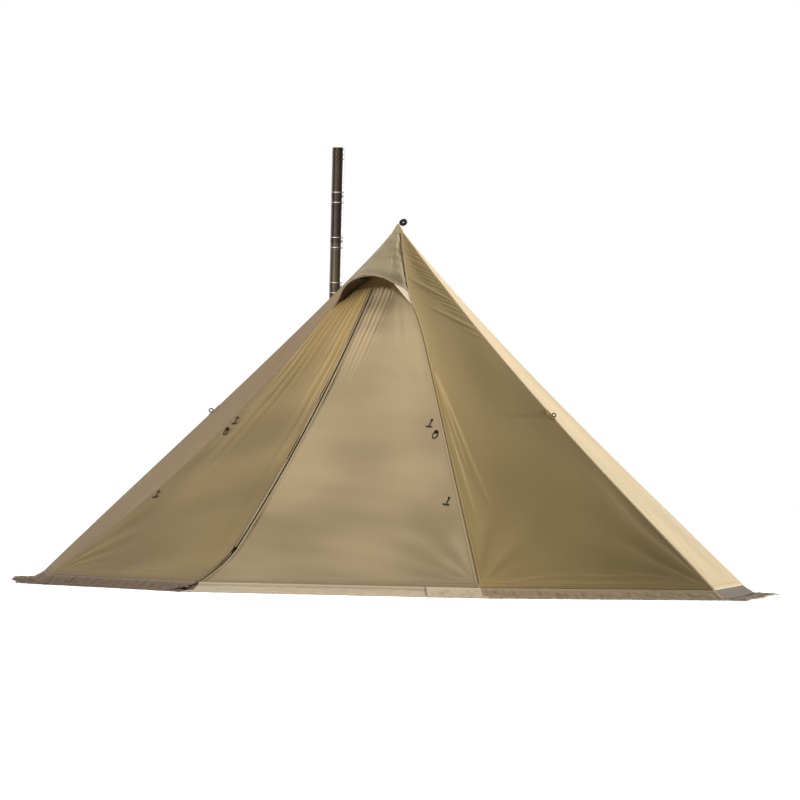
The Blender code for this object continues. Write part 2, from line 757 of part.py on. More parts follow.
def skirt_flap(name, start, end, first, last, parent=None):
    """A flap along one hem edge, between two distances; None is the corner itself."""
    length = (hem_corner(end) - hem_corner(start)).length
    low = GAP / length if first is None else first / length
    high = 1 - GAP / length if last is None else last / length

    def at(across, down):
        station = SKIRT_STATIONS[round(down * (len(SKIRT_STATIONS) - 1))]
        share = low + (high - low) * across
        place = skirt_corner(start, station[0]).lerp(skirt_corner(end, station[0]), share)
        return Vector((place.x, place.y, station[1]))

    return surface(name, at, 1, len(SKIRT_STATIONS) - 1, (SKIRT_BROWN, 0.85), parent=parent)


def wrapped_flap(name, corner, far, before):
    """A flap that also turns the corner and runs a short way along the door's edge."""
    length = (hem_corner(before) - hem_corner(corner)).length
    far_length = (hem_corner(far) - hem_corner(corner)).length

    def at(across, down):
        station = SKIRT_STATIONS[round(down * (len(SKIRT_STATIONS) - 1))]
        target, share = ((before, WRAP_LENGTH / length), (corner, 0),
                         (far, 1 - GAP / far_length))[round(across * 2)]
        place = skirt_corner(corner, station[0]).lerp(skirt_corner(target, station[0]), share)
        under_door = WRAP_DIP if target != far and station[1] > 0 else 0
        return Vector((place.x, place.y, station[1] - under_door))

    return surface(name, at, 2, len(SKIRT_STATIONS) - 1, (SKIRT_BROWN, 0.85))


WRAP_LENGTH = DOOR_SKIRT_START - DOOR_SKIRT_CLEARANCE
WRAP_DIP = 0.002
for name, (start, end) in PANELS.items():
    flap_name = name.replace("panel", "skirt")
    if start == "front_right":
        wrapped_flap(flap_name, start, end, "front")
    elif end == "front_left":
        wrapped_flap(flap_name, end, start, "front")
    else:
        skirt_flap(flap_name, start, end, None, None)

right_edge = (hem_corner("front_right") - hem_corner("front")).length
skirt_flap("skirt_door_right", "front", "front_right", None, right_edge - DOOR_SKIRT_START, DOOR_PIVOTS[1])
skirt_flap("skirt_door_left", "front_left", "front", DOOR_SKIRT_START, None, DOOR_PIVOTS[-1])


# Guy loops: webbing that stands out half way down three ridges
for place_name, ridge_name in (("right", "side_right"), ("back", "back"), ("left", "side_left")):
    outward = polar(BEARINGS[ridge_name], 1, 0)
    below = GUY_LOOP_HEIGHT - GUY_LOOP_WIDTH / 2
    run = (ridge_radius(ridge_name, below) - ridge_radius(ridge_name, GUY_LOOP_HEIGHT)) / (GUY_LOOP_WIDTH / 2)
    clear_of_slope = GUY_LOOP_WIDTH / 2 * (math.hypot(1, run) - 1)
    start = ridge(ridge_name, GUY_LOOP_HEIGHT) + outward * (clear_of_slope + FABRIC * 1.6 + GAP)
    stand = frame_matrix(start, outward, UP, outward.cross(UP))
    outline("guy_loop_" + place_name, slot_ring(GUY_LOOP_LENGTH, GUY_LOOP_WIDTH, GUY_LOOP_WALL),
            WEBBING, (BLACK, 0.8), stand)


# Toggles near the door's outer seams, and the loops below the upper ones
def door_frame(side, height, from_seam, proud):
    """Axes on a door's outer face: X across, Y up the slope, Z outwards."""
    seam_x = abs(ridge(door_seam(side), height).x)
    point = door_point(side, seam_x - from_seam, height)
    above = door_point(side, seam_x - from_seam, height + 0.05)
    across = (door_point(side, seam_x - from_seam - 0.05, height) - point).normalized() * side
    rise = (above - point).normalized()
    outward = across.cross(rise).normalized()
    if outward.y > 0:
        outward = -outward
    rise = (rise - outward * rise.dot(outward)).normalized()
    return frame_matrix(point + outward * proud, rise.cross(outward), rise, outward)


def toggle_outline():
    bar = TOGGLE_BAR / 2
    stem = TOGGLE_STEM_WIDTH / 2
    depth = TOGGLE_THICKNESS
    return [(-stem, 0), (-stem, -TOGGLE_STEM), (-bar, -TOGGLE_STEM), (-bar, -TOGGLE_STEM - depth),
            (bar, -TOGGLE_STEM - depth), (bar, -TOGGLE_STEM), (stem, -TOGGLE_STEM), (stem, 0)]


TOGGLE_PROUD = FABRIC + TOGGLE_STANDOFF
for side_name, side in LEFT_AND_RIGHT:
    for level, height in TOGGLE_HEIGHTS.items():
        on_door = door_frame(side, height, TOGGLE_FROM_SEAM[side_name], TOGGLE_PROUD)
        name = "toggle_" + side_name + "_" + level
        toggle_pivot = pivot(name + "_pivot", on_door.translation)
        toggle_pivot.parent = DOOR_PIVOTS[side]
        toggle_pivot.matrix_parent_inverse = DOOR_PIVOTS[side].matrix_world.inverted()
        outline(name, [toggle_outline()], TOGGLE_THICKNESS, (BLACK, 0.5), on_door, toggle_pivot)
    loop_proud = FABRIC + TOGGLE_LOOP_STANDOFF[side_name] + WEBBING / 2
    below_toggle = door_frame(side, TOGGLE_LOOP_HEIGHT, TOGGLE_LOOP_FROM_SEAM[side_name], loop_proud)
    shift = Matrix.Translation((0, TOGGLE_LOOP_LENGTH / 2, 0))
    hang = Matrix.Rotation(math.radians(-90), 4, "Z")
    outline("toggle_loop_" + side_name, slot_ring(TOGGLE_LOOP_LENGTH, TOGGLE_LOOP_WIDTH, TOGGLE_LOOP_WALL),
            WEBBING, (BLACK, 0.7), below_toggle @ shift @ hang, DOOR_PIVOTS[side])


# Pole: a foot, a lower tube, a twist-lock collar, and an upper tube with a tip
def tube_profile(outer, inner, low, high):
    return [(outer, high), (outer, low), (inner, low), (inner, high)]


UPPER_RADIUS = POLE_RADIUS - POLE_WALL - POLE_RUNNING_GAP
TIP_TOP = APEX_HEIGHT - TIP_BELOW_APEX
TIP_SHOULDER = TIP_TOP - UPPER_RADIUS * TIP_TAPER
origin = Vector((0, 0, 0))

foot_plug = POLE_RADIUS - POLE_WALL - GAP
turned("pole_foot", [(0, POLE_FOOT_HEIGHT), (foot_plug, POLE_FOOT_HEIGHT), (foot_plug, POLE_FOOT_PAD),
                     (POLE_FOOT_RADIUS, POLE_FOOT_PAD), (POLE_FOOT_RADIUS, 0), (0, 0)], (BLACK, 0.8), origin)
lower_profile = tube_profile(POLE_RADIUS, POLE_RADIUS - POLE_WALL, POLE_FOOT_PAD + GAP, POLE_JOINT_HEIGHT)
turned("pole_lower", lower_profile, (ALUMINIUM, 0.35, 1.0), origin)
pole_joint = Vector((0, 0, POLE_JOINT_HEIGHT))
collar_pivot = pivot("pole_collar_pivot", pole_joint)
collar_low = POLE_JOINT_HEIGHT - POLE_COLLAR_BELOW
collar_top = collar_low + POLE_COLLAR_HEIGHT
collar_neck = POLE_COLLAR_RADIUS * POLE_COLLAR_NECK
collar_profile = [(collar_neck, collar_top), (POLE_COLLAR_RADIUS, collar_top - POLE_COLLAR_CHAMFER),
                  (POLE_COLLAR_RADIUS, collar_low + POLE_COLLAR_CHAMFER), (collar_neck, collar_low),
                  (POLE_RADIUS + POLE_RUNNING_GAP, collar_low),
                  (POLE_RADIUS + POLE_RUNNING_GAP, POLE_JOINT_HEIGHT + GAP),
                  (UPPER_RADIUS + POLE_RUNNING_GAP, POLE_JOINT_HEIGHT + GAP),
                  (UPPER_RADIUS + POLE_RUNNING_GAP, collar_top)]
turned("pole_collar", [(r, z - POLE_JOINT_HEIGHT) for r, z in collar_profile], (BLACK, 0.6), pole_joint,
       parent=collar_pivot)
upper_pivot = pivot("pole_upper_pivot", pole_joint)
upper_low = POLE_JOINT_HEIGHT - POLE_OVERLAP
upper_high = TIP_TOP - POLE_TIP_HEIGHT
turned("pole_upper", [(r, z - POLE_JOINT_HEIGHT) for r, z in
                      tube_profile(UPPER_RADIUS, UPPER_RADIUS - POLE_WALL, upper_low, upper_high)],
       (ALUMINIUM, 0.35, 1.0), pole_joint, parent=upper_pivot)
plug_radius = UPPER_RADIUS - POLE_WALL - GAP
plug_low = upper_high - TIP_PLUG_LENGTH
tip_profile = [(0, TIP_TOP), (TIP_END_RADIUS, TIP_TOP), (UPPER_RADIUS, TIP_SHOULDER),
               (UPPER_RADIUS, upper_high + GAP), (plug_radius, upper_high + GAP), (plug_radius, plug_low),
               (0, plug_low)]
turned("pole_tip", [(r, z - POLE_JOINT_HEIGHT) for r, z in tip_profile], (BLACK, 0.6), pole_joint,
       parent=upper_pivot)


# Flue: sections that plug into each other, a damper in the lowest, a spark arrestor on top
flue_foot = polar(FLUE_BEARING, FLUE_DISTANCE, 0)
FLUE_BORE = FLUE_RADIUS - FLUE_WALL
SPIGOT_RADIUS = FLUE_BORE - GAP
FLUE_START = STOVE_TOP_HEIGHT + GAP


def bead(height):
    return [(FLUE_RADIUS, height + FLUE_BEAD_HALF_HEIGHT), (FLUE_RADIUS + FLUE_BEAD, height),
            (FLUE_RADIUS, height - FLUE_BEAD_HALF_HEIGHT)]


def flue_profile(low, high, top_bead=True):
    """A tube from low to high with a narrower spigot below it and a bead near each end."""
    beads = (bead(high - FLUE_BEAD_FROM_JOINT) if top_bead else []) + bead(low + FLUE_BEAD_FROM_JOINT)
    return [(FLUE_RADIUS, high)] + beads + [
        (FLUE_RADIUS, low), (SPIGOT_RADIUS, low), (SPIGOT_RADIUS, low - FLUE_SPIGOT),
        (SPIGOT_RADIUS - FLUE_WALL, low - FLUE_SPIGOT), (SPIGOT_RADIUS - FLUE_WALL, low + FLUE_WALL),
        (FLUE_BORE, low + FLUE_WALL), (FLUE_BORE, high)]


def flue_joint(number):
    return FLUE_START + FLUE_PITCH * number


DAMPER_HEIGHT = FLUE_START + DAMPER_ABOVE_STOVE
damper_middle = flue_foot + UP * DAMPER_HEIGHT
shaft_side = Vector((0, -1, 0))
for number in range(FLUE_SECTIONS):
    low = flue_joint(number) + (GAP if number else 0)
    section = turned("flue_section_" + str(number + 1), flue_profile(low, flue_joint(number + 1)),
                     (FLUE_BROWN, 0.45, 0.9), flue_foot, FLUE_STEPS)
    if number == 0:
        bore = cylinder_mesh("damper_shaft_bore", DAMPER_SHAFT_RADIUS + DAMPER_SHAFT_GAP, 4 * FLUE_RADIUS, 12)
        cut(section, as_cutter("damper_shaft_bore", bore,
                               frame_matrix(damper_middle, shaft_side, UP, shaft_side.cross(UP))))


def build_damper():
    """A round plate on a shaft that ends in a bent handle outside the flue."""
    pieces = []
    plate = cylinder_mesh("damper_plate", DAMPER_RADIUS, DAMPER_THICKNESS)
    shaft_length = 2 * (FLUE_RADIUS + DAMPER_SHAFT_OUTSIDE)
    shaft = cylinder_mesh("damper_shaft", DAMPER_SHAFT_RADIUS, shaft_length, 12)
    handle = cylinder_mesh("damper_handle", DAMPER_HANDLE_RADIUS, DAMPER_HANDLE, 12)
    along = shaft_side.cross(UP)
    reach = shaft_length / 2
    base = add("damper", shaft, (STOVE_GREY, 0.4, 0.9),
               frame_matrix(damper_middle, shaft_side, UP, along))
    pieces.append((plate, frame_matrix(damper_middle, along, UP, along.cross(UP))))
    hang = DAMPER_HANDLE / 2 - DAMPER_SHAFT_RADIUS
    pieces.append((handle, Matrix.Translation(damper_middle + along * reach - UP * hang)))
    for mesh, matrix in pieces:
        cut(base, as_cutter(mesh.name, mesh, matrix), "UNION")
    return base


damper_pivot = pivot("damper_pivot", damper_middle)
damper = build_damper()
damper.parent = damper_pivot
damper.matrix_parent_inverse = damper_pivot.matrix_world.inverted()

arrestor_low = flue_joint(FLUE_SECTIONS) + GAP
arrestor_high = arrestor_low + ARRESTOR_LENGTH
arrestor_pivot = pivot("spark_arrestor_pivot", flue_foot + UP * arrestor_low)
inside_top = arrestor_high - FLUE_WALL
arrestor_profile = [(0, arrestor_high), (FLUE_RADIUS, arrestor_high)]
arrestor_profile += flue_profile(arrestor_low, inside_top, False)[1:] + [(0, inside_top)]
arrestor = turned("spark_arrestor", [(r, z - arrestor_low) for r, z in arrestor_profile],
                  (FLUE_BROWN, 0.5, 0.9), flue_foot + UP * arrestor_low, FLUE_STEPS, arrestor_pivot)
hole_row = bmesh.new()
for row in range(ARRESTOR_HOLE_ROWS):
    for number in range(ARRESTOR_HOLES_AROUND // 2):
        turn = math.tau * (number + (row % 2) / 2 + ARRESTOR_HOLE_TURN) / ARRESTOR_HOLES_AROUND
        direction = Vector((math.cos(turn), math.sin(turn), 0))
        height = arrestor_high - ARRESTOR_FIRST_ROW - ARRESTOR_ROW_PITCH * row
        place = frame_matrix(flue_foot + UP * height, UP.cross(direction), UP, direction)
        made = bmesh.ops.create_cone(hole_row, cap_ends=True, segments=8, radius1=ARRESTOR_HOLE_RADIUS,
                                     radius2=ARRESTOR_HOLE_RADIUS, depth=3 * FLUE_RADIUS)
        bmesh.ops.transform(hole_row, matrix=place, verts=made["verts"])
hole_mesh = mesh_from(hole_row, "arrestor_holes")
cut(arrestor, as_cutter("arrestor_holes", hole_mesh, Matrix()))


# Stove jack: an opening in the left rear panel, a heatproof patch round the flue, and its flap
def chord_radius(name, bearing, height):
    """How far out a panel's inner face lies on a bearing, at a height."""
    start, end = (ridge(corner, height).xy for corner in PANELS[name])
    along = end - start
    ray = polar(bearing, 1, 0).xy
    return (start.x * along.y - start.y * along.x) / (ray.x * along.y - ray.y * along.x)


def jack_height():
    low, high = HEM_HEIGHT, PANEL_TOP
    for _ in range(40):
        middle = (low + high) / 2
        if chord_radius(JACK_PANEL, FLUE_BEARING, middle) > FLUE_DISTANCE:
            low = middle
        else:
            high = middle
    return (low + high) / 2


def on_jack_panel(sideways, upwards):
    """A point on the panel's inner face: distances from the flue along and up the slope."""
    height = JACK_MIDDLE.z + upwards * JACK_RISE.z
    start, end = (ridge(corner, height) for corner in PANELS[JACK_PANEL])
    drift = (JACK_MIDDLE + JACK_RISE * upwards - start).dot((end - start).normalized())
    distance = drift + sideways
    return start + (end - start).normalized() * distance


JACK_MIDDLE = polar(FLUE_BEARING, FLUE_DISTANCE, jack_height())
jack_start, jack_end = (ridge(corner, JACK_MIDDLE.z) for corner in PANELS[JACK_PANEL])
JACK_ACROSS = (jack_end - jack_start).normalized()
height_above = JACK_MIDDLE.z + JACK_BORDER
jack_above = polar(FLUE_BEARING, chord_radius(JACK_PANEL, FLUE_BEARING, height_above), height_above)
JACK_OUT = JACK_ACROSS.cross(jack_above - JACK_MIDDLE).normalized()
if JACK_OUT.z < 0:
    JACK_OUT = -JACK_OUT
JACK_RISE = JACK_OUT.cross(JACK_ACROSS)
if JACK_RISE.z < 0:
    JACK_RISE = -JACK_RISE
jack_box = box_mesh("jack_opening", (JACK_WIDTH, JACK_HEIGHT, 0.08))
jack_frame = frame_matrix(JACK_MIDDLE, JACK_ACROSS, JACK_OUT.cross(JACK_ACROSS), JACK_OUT)
cut(PANEL_OBJECTS[JACK_PANEL], as_cutter("jack_opening", jack_box, jack_frame))


def patch_point(across, down):
    wide = JACK_WIDTH + 2 * JACK_BORDER
    tall = JACK_HEIGHT + 2 * JACK_BORDER
    return on_jack_panel((across - 0.5) * wide, (0.5 - down) * tall)


patch = surface("stove_jack_patch", patch_point, 4, 4, ((0.10, 0.095, 0.085), 0.9),
                inward=-(FABRIC + JACK_STANDOFF))
flue_hole = cylinder_mesh("jack_flue_hole", FLUE_RADIUS + FLUE_BEAD + JACK_FLUE_GAP, 0.4)
cut(patch, as_cutter("jack_flue_hole", flue_hole, Matrix.Translation(JACK_MIDDLE)))
flap_low = JACK_HEIGHT / 2 + JACK_BORDER + JACK_FLAP_GAP


def flap_point(across, down):
    return on_jack_panel((across - 0.5) * JACK_FLAP_WIDTH, flap_low + JACK_FLAP_LENGTH * (1 - down))


flap_axis = on_jack_panel(0, flap_low) + JACK_OUT * (FABRIC * 1.5 + JACK_STANDOFF)
flap_pivot = pivot("jack_flap_pivot", flap_axis)
surface("stove_jack_flap", flap_point, 2, 3, (KHAKI, 0.8), inward=-(FABRIC + JACK_STANDOFF),
        parent=flap_pivot)


# Stove: a firebox on folding legs under the flue, with a latched door in front
stove_middle = Vector((flue_foot.x, flue_foot.y - STOVE_LENGTH / 2 + STOVE_FLUE_FROM_BACK,
                       STOVE_TOP_HEIGHT - STOVE_HEIGHT / 2))
stove_front = stove_middle.y - STOVE_LENGTH / 2
stove_base = STOVE_TOP_HEIGHT - STOVE_HEIGHT
stove = add("stove_body", box_mesh("stove_body", (STOVE_WIDTH, STOVE_LENGTH, STOVE_HEIGHT)),
            (STOVE_GREY, 0.5, 0.8), Matrix.Translation(stove_middle))
rounding = stove.modifiers.new("rounding", "BEVEL")
rounding.width = STOVE_ROUNDING
rounding.segments = 2
chamber = box_mesh("stove_chamber", (STOVE_WIDTH - 2 * STOVE_WALL, STOVE_LENGTH - 2 * STOVE_WALL,
                                     STOVE_HEIGHT - 2 * STOVE_WALL))
cut(stove, as_cutter("stove_chamber", chamber, Matrix.Translation(stove_middle)))
mouth = box_mesh("stove_mouth", (STOVE_MOUTH_WIDTH, 0.06, STOVE_MOUTH_HEIGHT))
mouth_middle = Vector((stove_middle.x, stove_front, stove_middle.z))
cut(stove, as_cutter("stove_mouth", mouth, Matrix.Translation(mouth_middle)))
top_hole = cylinder_mesh("stove_top_hole", FLUE_BORE, 0.06)
cut(stove, as_cutter("stove_top_hole", top_hole, Matrix.Translation(flue_foot + UP * STOVE_TOP_HEIGHT)))

rivet_length = LEG_THICKNESS + 3 * GAP + STOVE_WALL
leg_radius = LEG_WIDTH / 2
leg_pivot_height = stove_base + LEG_PIVOT_ABOVE_BASE
leg_length = (leg_pivot_height - leg_radius) / math.cos(math.radians(LEG_SPLAY)) + 2 * leg_radius
for side_name, side in LEFT_AND_RIGHT:
    for end_name, end in (("front", -1), ("rear", 1)):
        name = "stove_leg_" + end_name + "_" + side_name
        leg_x = stove_middle.x + side * (STOVE_WIDTH / 2 + GAP + LEG_THICKNESS / 2)
        leg_y = stove_middle.y + end * (STOVE_LENGTH / 2 - LEG_FROM_END)
        axis_point = Vector((leg_x, leg_y, leg_pivot_height))
        leg_pivot = pivot(name + "_pivot", axis_point)
        down = Vector((0, end * math.sin(math.radians(LEG_SPLAY)), -math.cos(math.radians(LEG_SPLAY))))
        sideways = Vector((1, 0, 0)).cross(down)
        stand = frame_matrix(axis_point, down, sideways, Vector((1, 0, 0)))
        hole = [(leg_radius + (LEG_RIVET_RADIUS + GAP) * x, (LEG_RIVET_RADIUS + GAP) * y) for x, y in circle]
        back_by_radius = Matrix.Translation((-leg_radius, 0, 0))
        outline(name, [slot_outline(leg_length, LEG_WIDTH), hole], LEG_THICKNESS, (STOVE_GREY, 0.5, 0.8),
                stand @ back_by_radius, leg_pivot)
        rivet = cylinder_mesh(name + "_rivet", LEG_RIVET_RADIUS, rivet_length, 12)
        rivet_x = stove_middle.x + side * (STOVE_WIDTH / 2 - STOVE_WALL / 2 + rivet_length / 2)
        lying = Matrix.Translation((rivet_x, leg_y, leg_pivot_height)) @ Matrix.Rotation(math.pi / 2, 4, "Y")
        cut(stove, as_cutter(name + "_rivet", rivet, lying), "UNION")

door_width = STOVE_MOUTH_WIDTH + 2 * STOVE_DOOR_LAP
door_height = STOVE_MOUTH_HEIGHT + 2 * STOVE_DOOR_LAP
hinge_point = Vector((stove_middle.x - door_width / 2 - STOVE_HINGE_RADIUS,
                      stove_front - GAP - STOVE_HINGE_RADIUS, stove_middle.z))
stove_door_pivot = pivot("stove_door_pivot", hinge_point)
door_middle = Vector((stove_middle.x, stove_front - GAP - STOVE_DOOR_THICKNESS / 2, stove_middle.z))
stove_door = add("stove_door", box_mesh("stove_door", (door_width, STOVE_DOOR_THICKNESS, door_height)),
                 (STOVE_GREY, 0.5, 0.8), Matrix.Translation(door_middle), stove_door_pivot)
knuckle_height = door_height / 3
barrel = cylinder_mesh("stove_door_barrel", STOVE_HINGE_RADIUS, knuckle_height, 16)
cut(stove_door, as_cutter("stove_door_barrel", barrel, Matrix.Translation(hinge_point)), "UNION")
arm_width = 2 * STOVE_HINGE_RADIUS
arm = box_mesh("stove_door_arm", (arm_width, STOVE_DOOR_THICKNESS * 0.8, knuckle_height * 0.9))
arm_middle = Vector((hinge_point.x + arm_width / 2, door_middle.y, stove_middle.z))
cut(stove_door, as_cutter("stove_door_arm", arm, Matrix.Translation(arm_middle)), "UNION")


for end_name, offset in (("upper", knuckle_height), ("lower", -knuckle_height)):
    height = knuckle_height - 2 * GAP
    knuckle = cylinder_mesh(end_name + "_knuckle", STOVE_HINGE_RADIUS, height, 16)
    knuckle_place = Matrix.Translation(hinge_point + UP * offset)
    cut(stove, as_cutter(end_name + "_knuckle", knuckle, knuckle_place), "UNION")
    lug = box_mesh(end_name + "_lug", (STOVE_HINGE_RADIUS, STOVE_HINGE_RADIUS + STOVE_WALL / 2, height * 0.9))
    lug_middle = hinge_point + Vector((0, (STOVE_HINGE_RADIUS + STOVE_WALL / 2) / 2, offset))
    cut(stove, as_cutter(end_name + "_lug", lug, Matrix.Translation(lug_middle)), "UNION")

latch_axis = Vector((stove_middle.x + door_width / 2 - LATCH_WIDTH, door_middle.y, stove_middle.z))
latch_point = latch_axis - Vector((0, STOVE_DOOR_THICKNESS / 2 + GAP + LATCH_THICKNESS / 2, 0))
latch_pivot = pivot("stove_latch_pivot", latch_point)
latch_pivot.parent = stove_door_pivot
latch_pivot.matrix_parent_inverse = stove_door_pivot.matrix_world.inverted()
facing = frame_matrix(latch_point, Vector((0, 0, -1)), Vector((1, 0, 0)), Vector((0, -1, 0)))
latch_shift = Matrix.Translation((-LATCH_WIDTH / 2, 0, 0))
outline("stove_latch", [slot_outline(LATCH_LENGTH, LATCH_WIDTH)], LATCH_THICKNESS, (ALUMINIUM, 0.3, 1.0),
        facing @ latch_shift, latch_pivot)
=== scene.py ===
import math
from functools import partial

import bpy
import numpy as np
from mathutils import Matrix, Vector


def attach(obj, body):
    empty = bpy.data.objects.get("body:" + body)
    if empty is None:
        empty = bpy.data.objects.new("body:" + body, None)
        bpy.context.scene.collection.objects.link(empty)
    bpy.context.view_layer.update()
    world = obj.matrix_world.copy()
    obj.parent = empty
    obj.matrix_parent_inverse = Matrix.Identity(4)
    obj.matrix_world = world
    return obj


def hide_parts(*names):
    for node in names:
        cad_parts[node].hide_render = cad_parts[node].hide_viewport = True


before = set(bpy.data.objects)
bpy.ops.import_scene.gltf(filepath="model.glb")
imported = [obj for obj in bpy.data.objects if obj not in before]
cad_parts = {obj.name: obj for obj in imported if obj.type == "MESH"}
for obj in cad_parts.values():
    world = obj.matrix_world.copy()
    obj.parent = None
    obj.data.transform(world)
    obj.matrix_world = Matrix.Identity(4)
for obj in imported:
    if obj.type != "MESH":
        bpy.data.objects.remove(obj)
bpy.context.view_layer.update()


# Ground and camera. The tent stands on a plain white floor and is seen from its front
# right, from 25 m away and about half a metre up, through a long lens that leans a degree.
VIEW_TURN = math.radians(28.07)
VIEW_LEAN = math.radians(1.23)
VIEW_DISTANCE = 25.0
VIEW_HEIGHT = 0.512
LENS = 229.95
AIM_RIGHT = 0.001076
AIM_UP = 0.016407

level_right = Vector((math.cos(VIEW_TURN), math.sin(VIEW_TURN), 0))
ahead = Vector((-math.sin(VIEW_TURN), math.cos(VIEW_TURN), 0))
aim = (ahead + level_right * AIM_RIGHT + Vector((0, 0, AIM_UP))).normalized()
aim_right = aim.cross(Vector((0, 0, 1))).normalized()
aim_up = aim_right.cross(aim)
camera_right = aim_right * math.cos(VIEW_LEAN) + aim_up * math.sin(VIEW_LEAN)
camera_up = aim_up * math.cos(VIEW_LEAN) - aim_right * math.sin(VIEW_LEAN)
bpy.ops.object.camera_add(location=Vector((0, 0, VIEW_HEIGHT)) - ahead * VIEW_DISTANCE)
camera = bpy.context.object
camera.name = "camera"
camera.rotation_euler = Matrix((camera_right, camera_up, -aim)).transposed().to_euler()
camera.data.lens = LENS
camera.data.clip_end = 200
bpy.context.scene.camera = camera
bpy.context.scene.view_settings.view_transform = "Standard"


def put(tree, socket, value):
    """Give an input a plain value, or a link from another node."""
    if isinstance(value, bpy.types.NodeSocket):
        tree.links.new(value, socket)
    else:
        socket.default_value = value


def fed(tree, node, *ordered, **named):
    """Fill a node's inputs, by their order or by their names."""
    for key, value in (*enumerate(ordered), *named.items()):
        put(tree, node.inputs[key if isinstance(key, int) else key.replace("_", " ")], value)
    return node


def added(tree, kind, *ordered, **named):
    return fed(tree, tree.nodes.new("ShaderNode" + kind), *ordered, **named)


def math_node(tree, operation, *values):
    node = added(tree, "Math", *values)
    node.operation = operation
    return node.outputs[0]


world = bpy.data.worlds.new("studio")
bpy.context.scene.world = world
world.use_nodes = True
tree = world.node_tree
path = added(tree, "LightPath").outputs
seen = math_node(tree, "MAXIMUM", path["Is Camera Ray"], path["Is Transmission Ray"])
fill = fed(tree, tree.nodes["Background"], Color=(0.95, 0.97, 1.0, 1), Strength=0.10)
white = added(tree, "Background", Color=(1, 1, 1, 1), Strength=1.0)
choose = added(tree, "MixShader", seen, fill.outputs[0], white.outputs[0])
tree.links.new(choose.outputs[0], tree.nodes["World Output"].inputs["Surface"])


def sun(name, azimuth, elevation, level, softness, colour=(1, 1, 1)):
    """A far softbox; level 1 lights a plain surface that faces it to its own colour."""
    bpy.ops.object.light_add(type="SUN", location=(0, 0, 5))
    light = bpy.context.object
    light.name = name
    light.rotation_euler = (0, math.radians(90 - elevation), math.radians(azimuth))
    light.data.energy = level * math.pi
    light.data.angle = math.radians(softness)
    light.data.color = colour


sun("overhead", 0, 90, 0.22, 40)
sun("side_left", 170, 15, 0.70, 25)
sun("side_right", 60, 2, 2.6, 6, (1.0, 0.97, 0.92))
SOFTBOX_AIM = Vector((0.2, -0.55, 1.1))
bpy.ops.object.light_add(type="AREA", location=(1.1, -2.5, 2.9))
softbox = bpy.context.object
softbox.name = "front_softbox"
softbox.data.shape = "SQUARE"
softbox.data.size = 1.6
softbox.data.energy = 62
softbox.rotation_euler = (SOFTBOX_AIM - softbox.location).to_track_quat("-Z", "Y").to_euler()
softbox.visible_camera = False
softbox.visible_glossy = False

FLOOR_GLOW = 0.72
bpy.ops.mesh.primitive_plane_add(size=60, location=(0, 0, 0))
floor = bpy.context.object
floor.name = "floor"
paint = bpy.data.materials.new("white_floor")
paint.use_nodes = True
tree = paint.node_tree
tree.nodes.remove(tree.nodes["Principled BSDF"])
matt = added(tree, "BsdfDiffuse", Color=(0.8, 0.8, 0.8, 1))
seen = added(tree, "LightPath").outputs["Is Camera Ray"]
glow = added(tree, "Emission", Color=(1, 1, 1, 1),
             Strength=math_node(tree, "MULTIPLY", seen, FLOOR_GLOW))
both = added(tree, "AddShader", matt.outputs[0], glow.outputs[0])
tree.links.new(both.outputs[0], tree.nodes["Material Output"].inputs["Surface"])
floor.data.materials.append(paint)


# Canopy. Eight ridges run from the apex to the hem corners, each hanging a little inside
# its straight line, and every panel is one curved sheet of coated khaki fabric between two.
APEX_HEIGHT = 1.773
HEM_HEIGHT = 0.045
PANEL_TOP = 1.735
# ridge: bearing, distance of its hem corner, how deep it hangs and where down its length
RIDGES = {
    "front_right": (-48.3, 1.731, 0.005, 0.58),
    "side_right": (-7.0, 1.857, 0.068, 0.45),
    "rear_right": (41.2, 1.80, 0.053, 0.41),
    "back": (90.0, 1.75, 0.068, 0.45),
    "rear_left": (138.8, 1.80, 0.053, 0.41),
    "side_left": (187.0, 1.857, 0.035, 0.30),
    "front_left": (228.3, 1.731, 0.14, 0.58),
}
SAG_SHARPNESS = 2.3
ZIP_TOP, ZIP_FOOT, DOOR_CORNER = (0.2686, 1.427), (1.5594, 0.17), 1.861
ZIP_BOW = 0.0447
chord = Vector(ZIP_FOOT) - Vector(ZIP_TOP)
ZIP_RADIUS = chord.length ** 2 / (8 * ZIP_BOW) + ZIP_BOW / 2
outward = Vector((-chord.y, chord.x)).normalized()
ZIP_CENTRE = (Vector(ZIP_TOP) + Vector(ZIP_FOOT)) / 2 + outward * (ZIP_RADIUS - ZIP_BOW)
FLARE_START, FLARE_STEEPNESS = 0.205, 1.20
DRAWN_MOST, DRAWN_FROM = 4.9, 1.5


def share_down(z):
    return (APEX_HEIGHT - z) / (APEX_HEIGHT - HEM_HEIGHT)


def zip_line_at(z):
    return ZIP_CENTRE[0] - np.sqrt(ZIP_RADIUS ** 2 - (z - ZIP_CENTRE[1]) ** 2)


def fade(value, start, run):
    """0 up to a start, then rising to 1 over a run; a run below 0 goes the other way."""
    return np.clip((value - start) / run, 0, 1)


def door_ridge(z):
    """How far the door's ridge stands from the pole: straight above the zip, an arc along it,
    and a flare out to the corner below it."""
    above = ZIP_TOP[0] * (APEX_HEIGHT - z) / (APEX_HEIGHT - ZIP_TOP[1])
    start, drop = zip_line_at(FLARE_START), FLARE_START - HEM_HEIGHT
    down, steep = fade(z, FLARE_START, -drop), FLARE_STEEPNESS * drop
    flare = start + steep * down + (DOOR_CORNER - start - steep) * down ** 2
    return np.where(z > ZIP_TOP[1], above, np.where(z < FLARE_START, flare, zip_line_at(z)))


